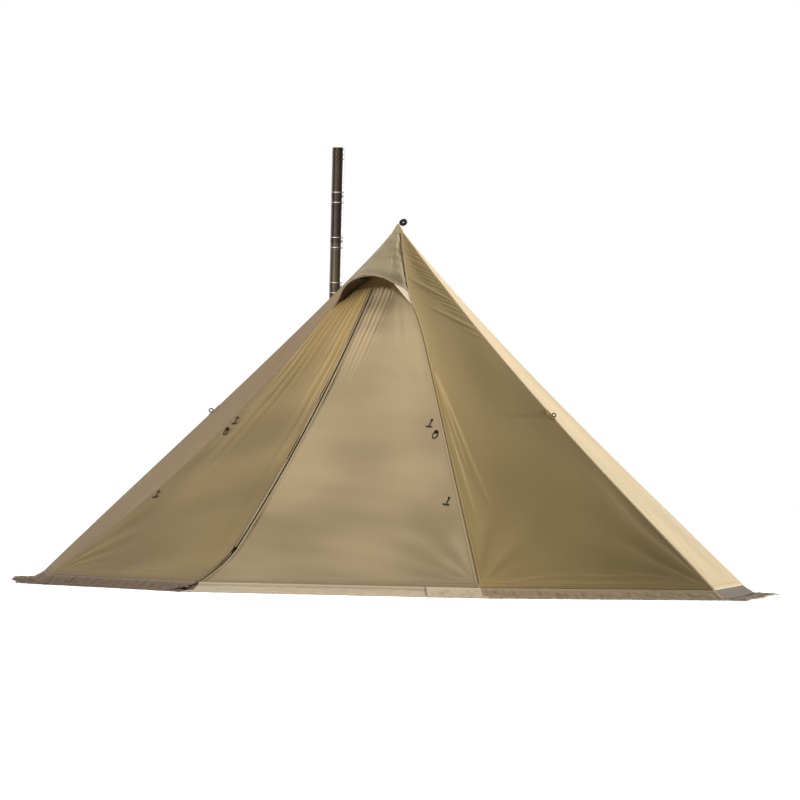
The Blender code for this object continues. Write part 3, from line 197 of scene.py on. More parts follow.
def drawn_in(z):
    """The hood draws the upper part of the right front seam towards the zip, in degrees."""
    below = np.exp(-((z - DRAWN_FROM) / 0.15) ** 2)
    return DRAWN_MOST * np.where(z > DRAWN_FROM, fade(z, PANEL_TOP, -0.06), below)


def polar(bearing, out, z):
    turn = np.radians(bearing)
    return np.stack(np.broadcast_arrays(out * np.cos(turn), out * np.sin(turn), z), axis=-1)


def ridge(name, z):
    """The point of a ridge at a height."""
    z = np.asarray(z, dtype=float)
    if name == "front":
        return polar(-90.0, door_ridge(z), z)
    bearing, corner, depth, deepest = RIDGES[name]
    if name == "front_right":
        bearing = bearing - drawn_in(z)
    share = np.clip(share_down(z), 0, 1)
    rise = (share / deepest) ** (SAG_SHARPNESS * deepest)
    fall = ((1 - share) / (1 - deepest)) ** (SAG_SHARPNESS * (1 - deepest))
    return polar(bearing, corner * share_down(z) - depth * rise * fall, z)


def mixed(a, b, share):
    return a + (b - a) * np.asarray(share)[..., None]


def length_of(steps):
    return np.linalg.norm(steps, axis=-1)


def run_of(line):
    return float(length_of(np.diff(line, axis=0)).sum())


def only(*pieces):
    """Select these pieces and nothing else, the first one active."""
    bpy.ops.object.select_all(action="DESELECT")
    for piece in pieces:
        piece.select_set(True)
    bpy.context.view_layer.objects.active = pieces[0]


def new_mesh(kind, name, **settings):
    """A primitive, the only thing selected, with its name."""
    bpy.ops.object.select_all(action="DESELECT")
    getattr(bpy.ops.mesh, "primitive_" + kind + "_add")(**settings)
    made = bpy.context.object
    made.name = name
    return made


def grid_of(name, columns, rows):
    """A flat unit grid, with each vertex's share across and share down."""
    obj = new_mesh("grid", name, x_subdivisions=columns, y_subdivisions=rows, size=1)
    obj.data.name = name
    flat = np.empty(len(obj.data.vertices) * 3)
    obj.data.vertices.foreach_get("co", flat)
    return obj, flat[0::3] + 0.5, 0.5 - flat[1::3]


def applied(obj, kind, **settings):
    """Add a modifier to an object and apply it."""
    with bpy.context.temp_override(object=obj, active_object=obj, selected_objects=[obj]):
        made = obj.modifiers.new(kind.lower(), kind)
        for key, value in settings.items():
            setattr(made, key, value)
        bpy.ops.object.modifier_apply(modifier=made.name)


def stands(obj, body, node=None):
    """Let a piece move with a body, in place of a CAD node where there is one."""
    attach(obj, body)
    if node:
        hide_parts(node)


def fold_painted_shading(pushed, depth=0.004):
    """Painted highlight on the raised folds and painted shade in the hollows."""
    return np.tanh(pushed / depth)


def cloth(name, place, size, finish, body, node=None, folds=None, painted_shading=None,
          lift=0.001, thick=0.0009, from_zip=0, ends=(True, True)):
    """A sheet of size = (columns, rows). place gives its inner face from shares across and down,
    and folds how far the fabric is pushed out there. The distances to its edges are kept on
    it for the seams in its material, and so is its painted light and shade, from its folds unless given."""
    obj, across, down = grid_of(name, *size)
    step = 2e-3
    sideways = place(np.minimum(across + step, 1), down) - place(np.maximum(across - step, 0), down)
    downwards = place(across, np.minimum(down + step, 1)) - place(across, np.maximum(down - step, 0))
    normal = np.cross(downwards, sideways)
    normal /= np.maximum(length_of(normal), 1e-12)[:, None]
    inner = place(across, down)
    inside = inner * (0.5, 0.5, 0) + (0, 0, 0.1)
    normal *= np.where(((inner - inside) * normal).sum(axis=1) < 0, -1, 1)[:, None]
    start, end = place(0 * across, down), place(0 * across + 1, down)
    far = 9 + 0 * across
    side = np.minimum(length_of(inner - start) if ends[0] else far,
                      length_of(inner - end) if ends[1] else far)
    hem = length_of(inner - place(across, 0 * down + 1))
    pushed = folds(inner, across, down, side, hem) if folds else 0 * across
    measured = {"side": side, "hem": hem,
                "from_zip": length_of(inner - start) + from_zip if from_zip else far,
                "painted_shading": painted_shading(inner, across, down, pushed) if painted_shading else fold_painted_shading(pushed)}
    for title, values in measured.items():
        kept = obj.data.attributes.new(title, "FLOAT", "POINT")
        kept.data.foreach_set("value", np.asarray(values, dtype=float))
    obj.data.vertices.foreach_set("co", (inner + normal * (lift + pushed)[:, None]).ravel())
    obj.data.update()
    zero, one = np.float64(0), np.float64(1)
    width = float(length_of(place(one, one) - place(zero, one)))
    length = run_of(place(np.full(200, 0.5), np.linspace(0, 1, 200)))
    obj.data.materials.append(finish)
    applied(obj, "SOLIDIFY", thickness=thick, offset=0)
    only(obj)
    bpy.ops.object.shade_smooth()
    stands(obj, body, node)
    return obj


def bell(value, width):
    return np.exp(-(value / width) ** 2)


def crease(p, start, end, width, depth):
    """A fold between two points, which fades towards both of them."""
    start, end = np.asarray(start, dtype=float), np.asarray(end, dtype=float)
    along = end - start
    share = np.clip((p - start) @ along / (along @ along), 0, 1)
    away = length_of(p - start - share[:, None] * along)
    return depth * bell(away, width) * np.sin(share * math.pi) ** 0.7


def fan(p, centre, inwards, spread, count, reach, depth, phase=0.0):
    """Folds that run out of a corner and die away with distance."""
    centre, inwards = np.asarray(centre, dtype=float), np.asarray(inwards, dtype=float)
    away = p - centre
    far = np.maximum(length_of(away), 1e-6)
    inwards = inwards / length_of(inwards)
    upright = np.cross(inwards, (0, 0, 1.0))
    turn = np.arctan2(away @ upright, away @ inwards)
    strength = (far / reach) * np.exp(1 - far / reach) * bell(turn, spread)
    return depth * strength * np.cos(turn * count + phase)


def slow(p, seed, size, depth):
    """Broad uneven dents, the same on every run."""
    turn = np.random.RandomState(seed)
    total = 0
    for _ in range(5):
        way = turn.normal(size=3)
        way /= np.linalg.norm(way)
        total = total + np.cos(p @ way * math.tau / (size * turn.uniform(0.7, 1.6)) + turn.uniform(0, 6.28))
    return depth * total / 2.2


def shader(name, colour, roughness, metallic=0.0):
    made = bpy.data.materials.new(name)
    made.use_nodes = True
    tree = made.node_tree
    return made, tree, fed(tree, tree.nodes["Principled BSDF"], Base_Color=(*colour, 1),
                           Roughness=roughness, Metallic=metallic)


def line_at(tree, distance, place, half):
    """1 on a line at a distance from an edge, 0 beyond half its width on both sides."""
    off = math_node(tree, "ABSOLUTE", math_node(tree, "SUBTRACT", distance, place))
    soft = added(tree, "MapRange", Value=off, From_Min=half * 0.5, From_Max=half,
                 To_Min=1.0, To_Max=0.0)
    soft.interpolation_type = "SMOOTHSTEP"
    return soft.outputs[0]


def on_object(tree):
    return added(tree, "TexCoord").outputs["Object"]


def noise(tree, scale, detail, roughness=0.5, where=None):
    """Noise over the piece itself, or over another vector."""
    return added(tree, "TexNoise", Vector=where or on_object(tree), Scale=scale, Detail=detail,
                 Roughness=roughness).outputs["Fac"]


def scaled(tree, colour, factor):
    node = tree.nodes.new("ShaderNodeVectorMath")
    node.operation = "SCALE"
    return fed(tree, node, colour, Scale=factor).outputs[0]


def bumped(tree, base, height, strength, distance):
    bump = added(tree, "Bump", Strength=strength, Distance=distance, Height=height)
    fed(tree, base, Normal=bump.outputs[0])


def effect(name, results, **inputs):
    """A node group with named inputs and outputs, for an effect that materials share."""
    group = bpy.data.node_groups.new(name, "ShaderNodeTree")
    for title, way in [(title, "INPUT") for title in inputs] + [(title, "OUTPUT") for title in results]:
        kind = "NodeSocketColor" if title == "Colour" else "NodeSocketFloat"
        socket = group.interface.new_socket(title.replace("_", " "), in_out=way, socket_type=kind)
        if way == "INPUT":
            socket.default_value = inputs[title]
    return group, group.nodes.new("NodeGroupInput").outputs, group.nodes.new("NodeGroupOutput")


def grouped(tree, group, **values):
    """The outputs of a shared effect, placed in a material with its own values."""
    node = tree.nodes.new("ShaderNodeGroup")
    node.node_tree = group
    return fed(tree, node, **values).outputs


def sums(tree):
    """Plus, minus, times and the larger of two, as maths nodes in a tree."""
    return [partial(math_node, tree, kind) for kind in ("ADD", "SUBTRACT", "MULTIPLY", "MAXIMUM")]


HEM_STITCHES = (0.012, 0.026)
STITCH, ZIP_STITCH, GROOVE = 0.0022, 0.0030, 0.0035


def make_sewn_cloth():
    """Fabric with a little wear: a felled seam along its sides, a stitched hem, a coarse grain, and the
    painted light and shade kept on the piece.
    """
    group, given, made = effect("sewn_cloth", ("Colour", "Height"), Colour=(0.4, 0.3, 0.17, 1),
                                Seam_width=0.016, Zip_seam=0.03, Fold_shade=0.15)
    plus, minus, times, larger = sums(group)
    edges = {}
    for name in ("side", "hem", "from_zip", "painted_shading"):
        node = added(group, "Attribute")
        node.attribute_name = name
        edges[name] = node.outputs["Fac"]
    broad, grain = noise(group, 2.2, 3.0, 0.6), noise(group, 900.0, 2.0)
    seam = math_node(group, "LESS_THAN", edges["side"], given["Seam width"])
    dark = line_at(group, edges["side"], given["Seam width"], STITCH)
    for place in HEM_STITCHES:
        dark = larger(dark, line_at(group, edges["hem"], place, STITCH))
    dark = larger(dark, line_at(group, edges["from_zip"], given["Zip seam"], ZIP_STITCH))
    dark = larger(dark, times(line_at(group, edges["side"], 0.0, GROOVE), 1.6))
    shade = minus(plus(1.02, times(seam, 0.10)), times(dark, 0.30))
    # The brightness takes in the painted light and shade kept on the piece, scaled by its fold shade.
    brightness = plus(plus(shade, times(minus(broad, 0.5), 0.16)),
                      times(edges["painted_shading"], given["Fold shade"]))
    fed(group, made, Colour=scaled(group, given["Colour"], brightness),
        Height=minus(plus(times(seam, 0.5), times(grain, 0.12)), times(dark, 0.6)))
    return group


SEWN_CLOTH = make_sewn_cloth()


def canvas(name, colour, roughness=0.78, seam=0.016, raised=0.0012, zip_seam=0.03, fold_shade=0.13):
    """A cloth material: the sewn fabric in a colour of its own."""
    made, tree, base = shader(name, colour, roughness)
    sewn = grouped(tree, SEWN_CLOTH, Colour=(*colour, 1), Seam_width=seam, Zip_seam=zip_seam,
                   Fold_shade=fold_shade)
    fed(tree, base, Base_Color=sewn["Colour"], Specular_IOR_Level=0.25, Sheen_Weight=0.08)
    bumped(tree, base, sewn["Height"], 0.7, raised)
    return made


# The canvas comes in copies of one khaki: the copies for the right front and left front panels are darker,
# as painted shade on the panels turned from the light.
khaki_painted_shade = canvas("khaki_canvas_painted_shade", (0.268, 0.189, 0.077))
khaki_sunny = canvas("khaki_canvas_sunny", (0.385, 0.298, 0.170))
khaki_rear = canvas("khaki_canvas_rear", (0.40, 0.30, 0.175))
khaki_left_painted_shade = canvas("khaki_canvas_left_painted_shade", (0.246, 0.152, 0.056))

SEAM_GAP = 0.00015
# panel: its two ridges, the seed of its dents, its grid and its cloth
FIXED_PANELS = {
    "right_front": ("front_right", "side_right", 0, (120, 340), khaki_painted_shade),
    "right_rear": ("side_right", "rear_right", 1, (70, 160), khaki_sunny),
    "back_right": ("rear_right", "back", 2, (70, 160), khaki_rear),
    "back_left": ("back", "rear_left", 3, (70, 160), khaki_rear),
    "left_front": ("side_left", "front_left", 5, (70, 200), khaki_left_painted_shade),
}


def panel_at(first, second, across, z):
    start, end = ridge(first, z), ridge(second, z)
    clear = SEAM_GAP / np.maximum(length_of(end - start), 1e-6)
    return mixed(start, end, clear + across * (1 - 2 * clear))


def down_panel(v):
    """Heights down a panel, closer together near its top."""
    return PANEL_TOP + (HEM_HEIGHT - PANEL_TOP) * v ** 1.35


def calm(side, hem, top, run=0.10):
    """Folds die out at the seams, the hem and the top."""
    return fade(side, 0, run) * fade(hem, 0, run) * fade(top, 0, run)


# wrinkles on the right front panel: share across and height of the inner end, height at the
# side seam, width and depth
WRINKLES = [(0.25, 1.660, 1.618, 0.0050, 0.0016), (0.30, 1.640, 1.588, 0.0055, 0.0022),
            (0.28, 1.612, 1.565, 0.0060, 0.0028), (0.34, 1.600, 1.542, 0.0055, 0.0030),
            (0.30, 1.575, 1.522, 0.0060, 0.0030), (0.45, 1.545, 1.500, 0.0055, 0.0026),
            (0.40, 1.527, 1.478, 0.0060, 0.0028), (0.55, 1.495, 1.455, 0.0055, 0.0022),
            (0.52, 1.474, 1.432, 0.0055, 0.0020), (0.10, 1.512, 1.385, 0.0075, 0.0048),
            (0.45, 1.438, 1.372, 0.0065, 0.0030), (0.62, 1.395, 1.345, 0.0060, 0.0026),
            (0.66, 1.362, 1.318, 0.0055, 0.0022), (0.34, 1.368, 1.262, 0.0070, 0.0040),
            (0.56, 1.330, 1.250, 0.0060, 0.0026), (0.70, 1.270, 1.215, 0.0065, 0.0018)]
# low folds on it: share across and height of both ends, width and depth
LOW_FOLDS = [(0.025, 1.05, 0.10, 0.55, 0.010, 0.0030), (0.04, 1.05, 0.16, 0.40, 0.010, 0.0025),
             (0.015, 1.05, 0.06, 0.35, 0.010, 0.0030), (0.04, 0.060, 0.40, 0.110, 0.008, 0.0045),
             (0.30, 0.098, 0.72, 0.105, 0.008, 0.0040), (0.10, 0.060, 0.75, 0.070, 0.008, 0.0030),
             (0.55, 0.130, 0.95, 0.085, 0.008, 0.0030)]


def panel_folds(first, second, seed):
    def folds(p, across, down, side, hem):
        low_first, low_second = ridge(first, HEM_HEIGHT), ridge(second, HEM_HEIGHT)
        inward = (low_first + low_second) / 2 * 0.3 + np.array((0, 0, 0.9))
        total = slow(p, seed, 0.8, 0.0022) + slow(p, seed + 50, 0.25, 0.0005)
        total = total + fan(p, low_first, inward - low_first, 0.6, 19, 0.16, 0.004, seed)
        total = total + fan(p, low_second, inward - low_second, 0.6, 17, 0.18, 0.004, seed + 2)
        total = total * calm(side, hem, PANEL_TOP - p[:, 2])
        if (first, second) != ("front_right", "side_right"):
            return total
        wrinkles = 0
        for at, z, to, to_z, wide, deep in [(at, z, 1.0, *rest) for at, z, *rest in WRINKLES] + LOW_FOLDS:
            wrinkles = wrinkles + crease(p, panel_at(first, second, at, z),
                                         panel_at(first, second, to, to_z), wide, deep)
        return total + wrinkles * fade(side, 0, 0.006)
    return folds


def seam_shade(p):
    """Painted shade: a dark line along the front right seam, where the hood turns in to its stitching."""
    return 4.0 * bell(length_of(p - ridge("front_right", p[:, 2])), 0.006)


def panel_painted_shading(p, across, down, pushed):
    """Painted light on the right front panel beside its front seam and along its hem, and painted shade
    along its seam under the hood.
    """
    z = p[:, 2]
    paler = 3.6 * np.exp(-(across / 0.35) ** 1.2) - 1.6 + 2.4 * bell(z - 0.03, 0.06)
    return fold_painted_shading(pushed) + paler - seam_shade(p) * fade(z, 1.36, 0.04)


for word, (first, second, seed, size, finish) in FIXED_PANELS.items():
    cloth("canopy_" + word, lambda u, v: panel_at(first, second, u, down_panel(v)), size, finish,
          "tent", "panel_" + word, folds=panel_folds(first, second, seed),
          painted_shading=panel_painted_shading if word == "right_front" else None)


# Rear left panel. The stove's flue leaves through it, so an opening is cut here and closed
# by a heatproof patch with a hole for the flue; a storm flap is sewn above the patch.
JACK_MIDDLE = Vector((-0.461311, 0.215113, 1.204727))
JACK_ACROSS = Vector((-0.360460, -0.932775, 0.0))
JACK_OUT = Vector((-0.675396, 0.260999, 0.689725))
JACK_RISE = Vector((0.643358, -0.248618, 0.724072))


def jack_panel(u, v):
    return panel_at("rear_left", "side_left", u, PANEL_TOP + (HEM_HEIGHT - PANEL_TOP) * v)


def block(name, size, **where):
    """A box, with its size and place in its mesh."""
    made = new_mesh("cube", name, size=1, **where)
    made.scale = size
    bpy.ops.object.transform_apply(location=True, rotation=True, scale=True)
    return made


def carved(obj, cutter):
    applied(obj, "BOOLEAN", object=cutter, operation="DIFFERENCE", solver="EXACT")
    bpy.data.objects.remove(cutter, do_unlink=True)


rear_left = cloth("canopy_left_rear", jack_panel, (120, 240), khaki_rear, "tent", "panel_left_rear",
                  folds=panel_folds("rear_left", "side_left", seed=4))
jack_turn = Matrix((JACK_ACROSS, JACK_OUT.cross(JACK_ACROSS), JACK_OUT)).transposed().to_euler()
carved(rear_left, block("jack_opening", (0.14, 0.18, 0.12), location=JACK_MIDDLE, rotation=jack_turn))


# Doors. Each is one sheet from its seam to the zip. The vent above pulls their top edge
# into deep pleats that run down beside the zip and fade half way to the first toggle.
SIDES = {-1: "left", 1: "right"}
TOGGLES = {"upper": 0.810, "lower": 0.445}
TOGGLE_FROM_SEAM = {-1: 0.026, 1: 0.050}
DOOR_SEAM_GAP = 0.0009
DOOR_TOPS = {
    -1: ((0, 0.5, 0.69, 0.86, 1), (1.466, 1.449, 1.409, 1.376, 1.335)),
    1: ((0, 0.55, 0.76, 0.9, 1), (1.466, 1.451, 1.432, 1.40, 1.35)),
}
ZIP_EDGE = 0.016
PLEATS = {-1: 8.0, 1: 5.2}
PLEAT_TOP, PLEAT_PITCH = 1.47, 0.023


def door_seam(side):
    return "front_left" if side < 0 else "front_right"


def door_top(side, share):
    scallop = np.cos(share * PLEATS[side] * math.tau) * 0.006 * fade(share, 0, 0.1) * (share < 0.9)
    return np.interp(share, *DOOR_TOPS[side]) + scallop * (share < 0.65 if side > 0 else 1)


def door_at(side, share, z):
    """A point on a door, from its zip edge at share 0 to its seam at share 1."""
    middle, seam = ridge("front", z), ridge(door_seam(side), z)
    wide = np.maximum(length_of(seam - middle), 1e-6)
    begin = ZIP_EDGE / np.maximum(np.abs(seam[..., 0]), 1e-6)
    return mixed(middle, seam, begin + (1 - DOOR_SEAM_GAP / wide - begin) * share)


def door_place(side):
    def place(u, v):
        top = door_top(side, u)
        return door_at(side, u, top + (HEM_HEIGHT - top) * v)
    return place


# folds along the hem: height at the zip, height at the seam, depth
HEM_FOLDS = {-1: ((0.062, 0.078, 0.0030), (0.085, 0.105, 0.0022)),
             1: ((0.066, 0.085, 0.0030), (0.072, 0.135, 0.0030), (0.110, 0.175, 0.0018))}
# deep creases down each door: height of their tops, width, then share across at the top and
# at the foot, height of the foot and depth
DOOR_CREASES = {
    -1: (1.40, 0.018, ((0.96, 0.86, 0.80, 0.006), (0.84, 0.74, 0.92, 0.005), (0.68, 0.60, 1.00, 0.004))),
    1: (1.43, 0.016, ((0.80, 0.82, 1.08, 0.005), (0.62, 0.66, 1.12, 0.004), (0.93, 0.90, 0.95, 0.003))),
}


def door_folds(side):
    seam = door_seam(side)

    def pleats(x, across, drop):
        """Rounded ridges with narrow valleys; on the right they run beside the zip only."""
        if side < 0:
            count, reach, kept = across * PLEATS[side], 0.30 + 0.16 * np.sin(across * 9.0 + 1.0), 1
        else:
            count, reach = x / PLEAT_PITCH + 0.3, 0.20 + 0.10 * np.sin(across * 11.0)
            kept = fade(x, 0.145, -0.03)
        pleat = 2 * np.abs(np.sin(count * math.pi)) ** 0.7 - 1 + 0.25 * np.cos(count * 2.6 + 2)
        return pleat * (0.0042 + 0.007 * fade(drop, 0, 0.4)) * np.exp(-(drop / reach) ** 1.4) * kept

    def folds(p, across, down, along_side, hem):
        x, drop = np.abs(p[:, 0]), np.maximum(PLEAT_TOP - p[:, 2], 0)
        total = pleats(x, across, drop) * fade(x, 0.018, 0.02) * fade(along_side, 0, 0.02)
        low = ridge(seam, HEM_HEIGHT)
        settle = calm(along_side, hem, drop + 0.03, 0.07)
        inward = np.array((low[0] * 0.35, low[1] * 0.5, 0.8))
        total = total + fan(p, low, inward - low, 0.6, 21, 0.15, 0.004, 1.0) * settle
        total = total + (slow(p, 20 + side, 0.5, 0.003) + slow(p, 31 + side, 0.17, 0.0007)) * settle
        for start_z, end_z, deep in HEM_FOLDS[side]:
            total = total + crease(p, door_at(side, 0.03, start_z), door_at(side, 0.99, end_z),
                                   0.007, deep) * fade(along_side, 0, 0.01)
        top_z, wide, runs = DOOR_CREASES[side]
        for at_top, at_foot, foot_z, deep in runs:
            total = total + crease(p, door_at(side, at_top, top_z), door_at(side, at_foot, foot_z),
                                   wide, deep) * settle
        for height in TOGGLES.values():
            at_seam = ridge(seam, height)
            spot = mixed(ridge("front", height), at_seam, 1 - TOGGLE_FROM_SEAM[side] / abs(at_seam[0]))
            total = total * (1 - bell(length_of(p - spot), 0.09))
        return total
    return folds


def door_painted_shading(side):
    # Painted light and shade on the doors: on their folds and pleats, paler higher up and beside the zip,
    # and painted shade low down and, on the right door, beside its seam.
    def painted_shading(p, across, down, pushed):
        z = p[:, 2]
        if side < 0:
            pleated = 1 + 1.1 * fade(z, 1.05, 0.25)
            pale = fade(z, 0.78, 0.30) * (1.3 + 1.9 * bell(across, 0.35))
            return pleated * fold_painted_shading(pushed) + pale - 1.0 * bell(z, 0.22) * (1 - 0.6 * across)
        shaded = 0.85 * bell(z, 0.30) + 0.9 * bell(across - 0.92, 0.16) * bell(z - 0.62, 0.22)
        pleated = 1 + 1.5 * fade(z, 1.05, 0.2) * fade(np.abs(p[:, 0]), 0.17, -0.04)
        return pleated * fold_painted_shading(pushed) + 0.9 * bell(across, 0.30) * bell(z - 1.0, 0.25) - shaded
    return painted_shading


# The left door's copy of the khaki is darker, as painted shade.
DOOR_CLOTHS = {
    1: canvas("khaki_canvas_door", (0.405, 0.303, 0.174), zip_seam=0.022, fold_shade=0.18),
    -1: canvas("khaki_canvas_door_left_painted_shade", (0.255, 0.174, 0.067), zip_seam=0.034, fold_shade=0.18),
}
for side, word in SIDES.items():
    cloth("door_" + word, door_place(side), (130, 260), DOOR_CLOTHS[side], "door_" + word,
          "door_" + word + "_panel", folds=door_folds(side), painted_shading=door_painted_shading(side), from_zip=ZIP_EDGE,
          ends=(False, True))


# Zip. Two woven tapes carry the black teeth up the door's curved ridge; the slider and its
# pull hang near the foot.
ZIP_TOP_SEWN = 1.462
TAPE_INNER, TAPE_OUTER = 0.0012, ZIP_EDGE - 0.0003
khaki_tape = canvas("khaki_zip_tape", (0.42, 0.32, 0.18), 0.85, 0.0)
black_nylon, *_ = shader("black_nylon", (0.024, 0.015, 0.009), 0.7)


def tape_place(side):
    def place(u, v):
        top = door_top(side, 0 * u)
        z = top + (HEM_HEIGHT - top) * v
        middle, seam = ridge("front", z), ridge(door_seam(side), z)
        return mixed(middle, seam, (TAPE_INNER + (TAPE_OUTER - TAPE_INNER) * u) / np.abs(seam[..., 0]))
    return place


for side, word in SIDES.items():
    cloth("tape_" + word, tape_place(side), (2, 200), khaki_tape, "door_" + word, "zip_tape_" + word,
          lift=0.0006, thick=0.0008)


def arc_point(from_zip, z, proud):
    """A point beside the zip, raised from the fabric's inner face."""
    z = np.asarray(z, dtype=float)
    here, above = ridge("front", z), ridge("front", z + 0.002)
    up = (above - here) / length_of(above - here)[..., None]
    out = np.cross(up, np.array((1.0, 0, 0)))
    out *= np.sign(-out[..., 1])[..., None]
    return here + out * proud + np.array((from_zip, 0, 0))


def path_curve(name, points, radius=0.0, resolution=3, closed=False):
    bpy.ops.object.select_all(action="DESELECT")
    bpy.ops.curve.primitive_nurbs_path_add()
    obj = bpy.context.object
    obj.name = name
    curve = obj.data
    curve.splines.clear()
    spline = curve.splines.new("POLY")
    spline.points.add(len(points) - 1)
    for target, point in zip(spline.points, points):
        target.co = (*point, 1)
    spline.use_cyclic_u = closed
    spline.use_smooth = True
    curve.bevel_depth = radius
    curve.bevel_resolution = resolution
    curve.use_fill_caps = True
    curve.twist_mode = "Z_UP"
    return obj


def as_mesh(obj, finish, smooth=True):
    only(obj)
    if obj.type != "MESH":
        bpy.ops.object.convert(target="MESH")
    obj.data.materials.clear()
    obj.data.materials.append(finish)
    bpy.ops.object.transform_apply(location=True, rotation=True, scale=True)
    if smooth:
        bpy.ops.object.shade_smooth_by_angle(angle=math.radians(40))
    return obj


TOOTH_PITCH, TEETH_FOOT = 0.0042, 0.0465
for side, word in SIDES.items():
    line = arc_point(side * 0.0017, np.linspace(TEETH_FOOT, ZIP_TOP_SEWN - 0.006, 260), 0.0026)
    rail = path_curve("zip_line", line)
    teeth = block("zip_teeth_" + word, (TOOTH_PITCH * 0.62, 0.0028, 0.0034))
    applied(teeth, "BEVEL", width=0.0007, segments=1)
    teeth.location = (TOOTH_PITCH / 2, 0, 0)
    bpy.ops.object.transform_apply(location=True, rotation=False, scale=False)
    applied(teeth, "ARRAY", count=int(run_of(line) / TOOTH_PITCH) - 1, use_relative_offset=False,
            use_constant_offset=True, constant_offset_displace=(TOOTH_PITCH, 0, 0))
    applied(teeth, "CURVE", object=rail, deform_axis="POS_X")
    bpy.data.objects.remove(rail, do_unlink=True)
    stands(as_mesh(teeth, black_nylon, smooth=False), "door_" + word, "zip_chain_" + word)


# Vent. A dark net closes the top of the doorway. In front of it stands a hood whose brim is
# bound and hangs lower on the left, and a pale gusset closes its right end.
SEAM_BEARING = 41.7
HOOD_END, HOOD_MIDDLE, HOOD_OUT = 1.345, 1.518, 0.345
BRIM_PEAK = 0.18
NET_TOP = 1.70


def colour_ramp(tree, place, stops):
    """A colour ramp through (place, colour) stops."""
    node = added(tree, "ValToRGB", place)
    elements = node.color_ramp.elements
    elements.remove(elements[1])
    elements[0].position, elements[0].color = stops[0]
    for stop, colour in stops[1:]:
        elements.new(stop).color = colour
    return node


def make_net():
    group, given, made = effect("woven_net", ("Colour", "Height"), Shade=1.0)
    cells = added(group, "TexVoronoi", Vector=on_object(group), Scale=420.0)
    dye = colour_ramp(group, noise(group, 38.0, 3.0), ((0.35, (0.62, 0.41, 0.15, 1)),
                                                       (0.68, (0.76, 0.51, 0.20, 1))))
    fed(group, made, Colour=scaled(group, dye.outputs[0], given["Shade"]),
        Height=cells.outputs["Distance"])
    return group


WOVEN_NET = make_net()
nets = {}
# The copy of the net for its side under the hood is darkened, as painted shade.
for name, shade in (("brown_net", 1.05), ("brown_net_painted_shade", 0.14)):
    nets[name], tree, base = shader(name, (0.08, 0.05, 0.028), 0.95)
    woven = grouped(tree, WOVEN_NET, Shade=shade)
    fed(tree, base, Base_Color=woven["Colour"])
    bumped(tree, base, woven["Height"], 0.5, 0.001)


def seam_beside(share, z):
    """The left door seam where a share lies below 0, and the right one above."""
    return np.where((share < 0)[..., None], ridge("front_left", z), ridge("front_right", z))


def net_place(u, v):
    share = (u - 0.5) * 2
    across = np.abs(share)
    bottom = np.where(share < 0, door_top(-1, across), door_top(1, across)) - 0.03
    z = NET_TOP + (bottom - NET_TOP) * v
    middle, seam = ridge("front", z), seam_beside(share, z)
    clear = 1 - 0.0016 / np.maximum(length_of(seam - middle), 1e-6)
    p = mixed(middle, seam, across * clear)
    p[..., 1] += 0.004 + 0.010 * (1 - across ** 2) * fade(z, NET_TOP, -0.15)
    return p


cloth("vent_net", net_place, (60, 40), nets["brown_net"], "tent", "vent_mesh", lift=-0.001, thick=0.0004)


def hood_bearing(share, z):
    return -90 + SEAM_BEARING * share - drawn_in(z) * np.maximum(share, 0)


def to_corner(share):
    """Shares along the brim, which reaches its right seam at a corner above its end."""
    near = fade(share, 0.6, 0.3)
    return share + (1 - share) * near ** 2 * (3 - 2 * near)


def brim(share):
    """The hood's lower edge; share runs from -1 at the left seam to 1 at the right."""
    off = (share - BRIM_PEAK) / np.where(share < BRIM_PEAK, 1 + BRIM_PEAK, 1 - BRIM_PEAK)
    rise = np.maximum(1 - off ** 2, 0) ** np.where(share < BRIM_PEAK, 1.3, 0.5)
    z = HOOD_END + (HOOD_MIDDLE - HOOD_END) * rise
    end = length_of(seam_beside(share, z)[..., :2])
    middle = HOOD_OUT * (APEX_HEIGHT - z) / (APEX_HEIGHT - HOOD_MIDDLE)
    bulge = np.cos(share * math.pi / 2) ** np.where(share < 0, 2.2, 1.0)
    return polar(hood_bearing(to_corner(share), z), end + (middle - end) * bulge, z)


def hood_place(u, v):
    share = np.sin((u - 0.5) * math.pi)
    low = brim(share)
    radius = length_of(low[..., :2])
    top = radius * (APEX_HEIGHT - PANEL_TOP) / (APEX_HEIGHT - low[..., 2])
    z = PANEL_TOP + (low[..., 2] - PANEL_TOP) * v
    p = polar(hood_bearing(share + (to_corner(share) - share) * v ** 2, z), top + (radius - top) * v, z)
    on_seam = length_of(seam_beside(share, z)[..., :2]) / np.maximum(length_of(p[..., :2]), 1e-6)
    follow = np.maximum(0, np.abs(share) - 0.5) * 2
    scale = 1 + (on_seam - 1) * follow ** 2
    return np.stack([p[..., 0] * scale - 0.0014 * share, p[..., 1] * scale, p[..., 2]], axis=-1)


def hood_folds(p, across, down, side, hem):
    share = np.sin((across - 0.5) * math.pi)
    total = slow(p, 71, 0.13, 0.0024) + slow(p, 72, 0.05, 0.0010)
    total = total - 0.003 * bell(share + 0.25, 0.16) * np.sin(down * math.pi)
    total = total + 0.0022 * bell(down - 0.80 + 0.30 * share, 0.030) * bell(share - 0.10, 0.35)
    total = total - 0.0020 * bell(share - 0.55 - 0.10 * down, 0.035) * bell(down - 0.55, 0.30)
    total = total * np.clip((share + 1.0) / 0.5, 0.15, 1)
    return total * fade(side, 0, 0.015) * fade(down, 0, 0.15)


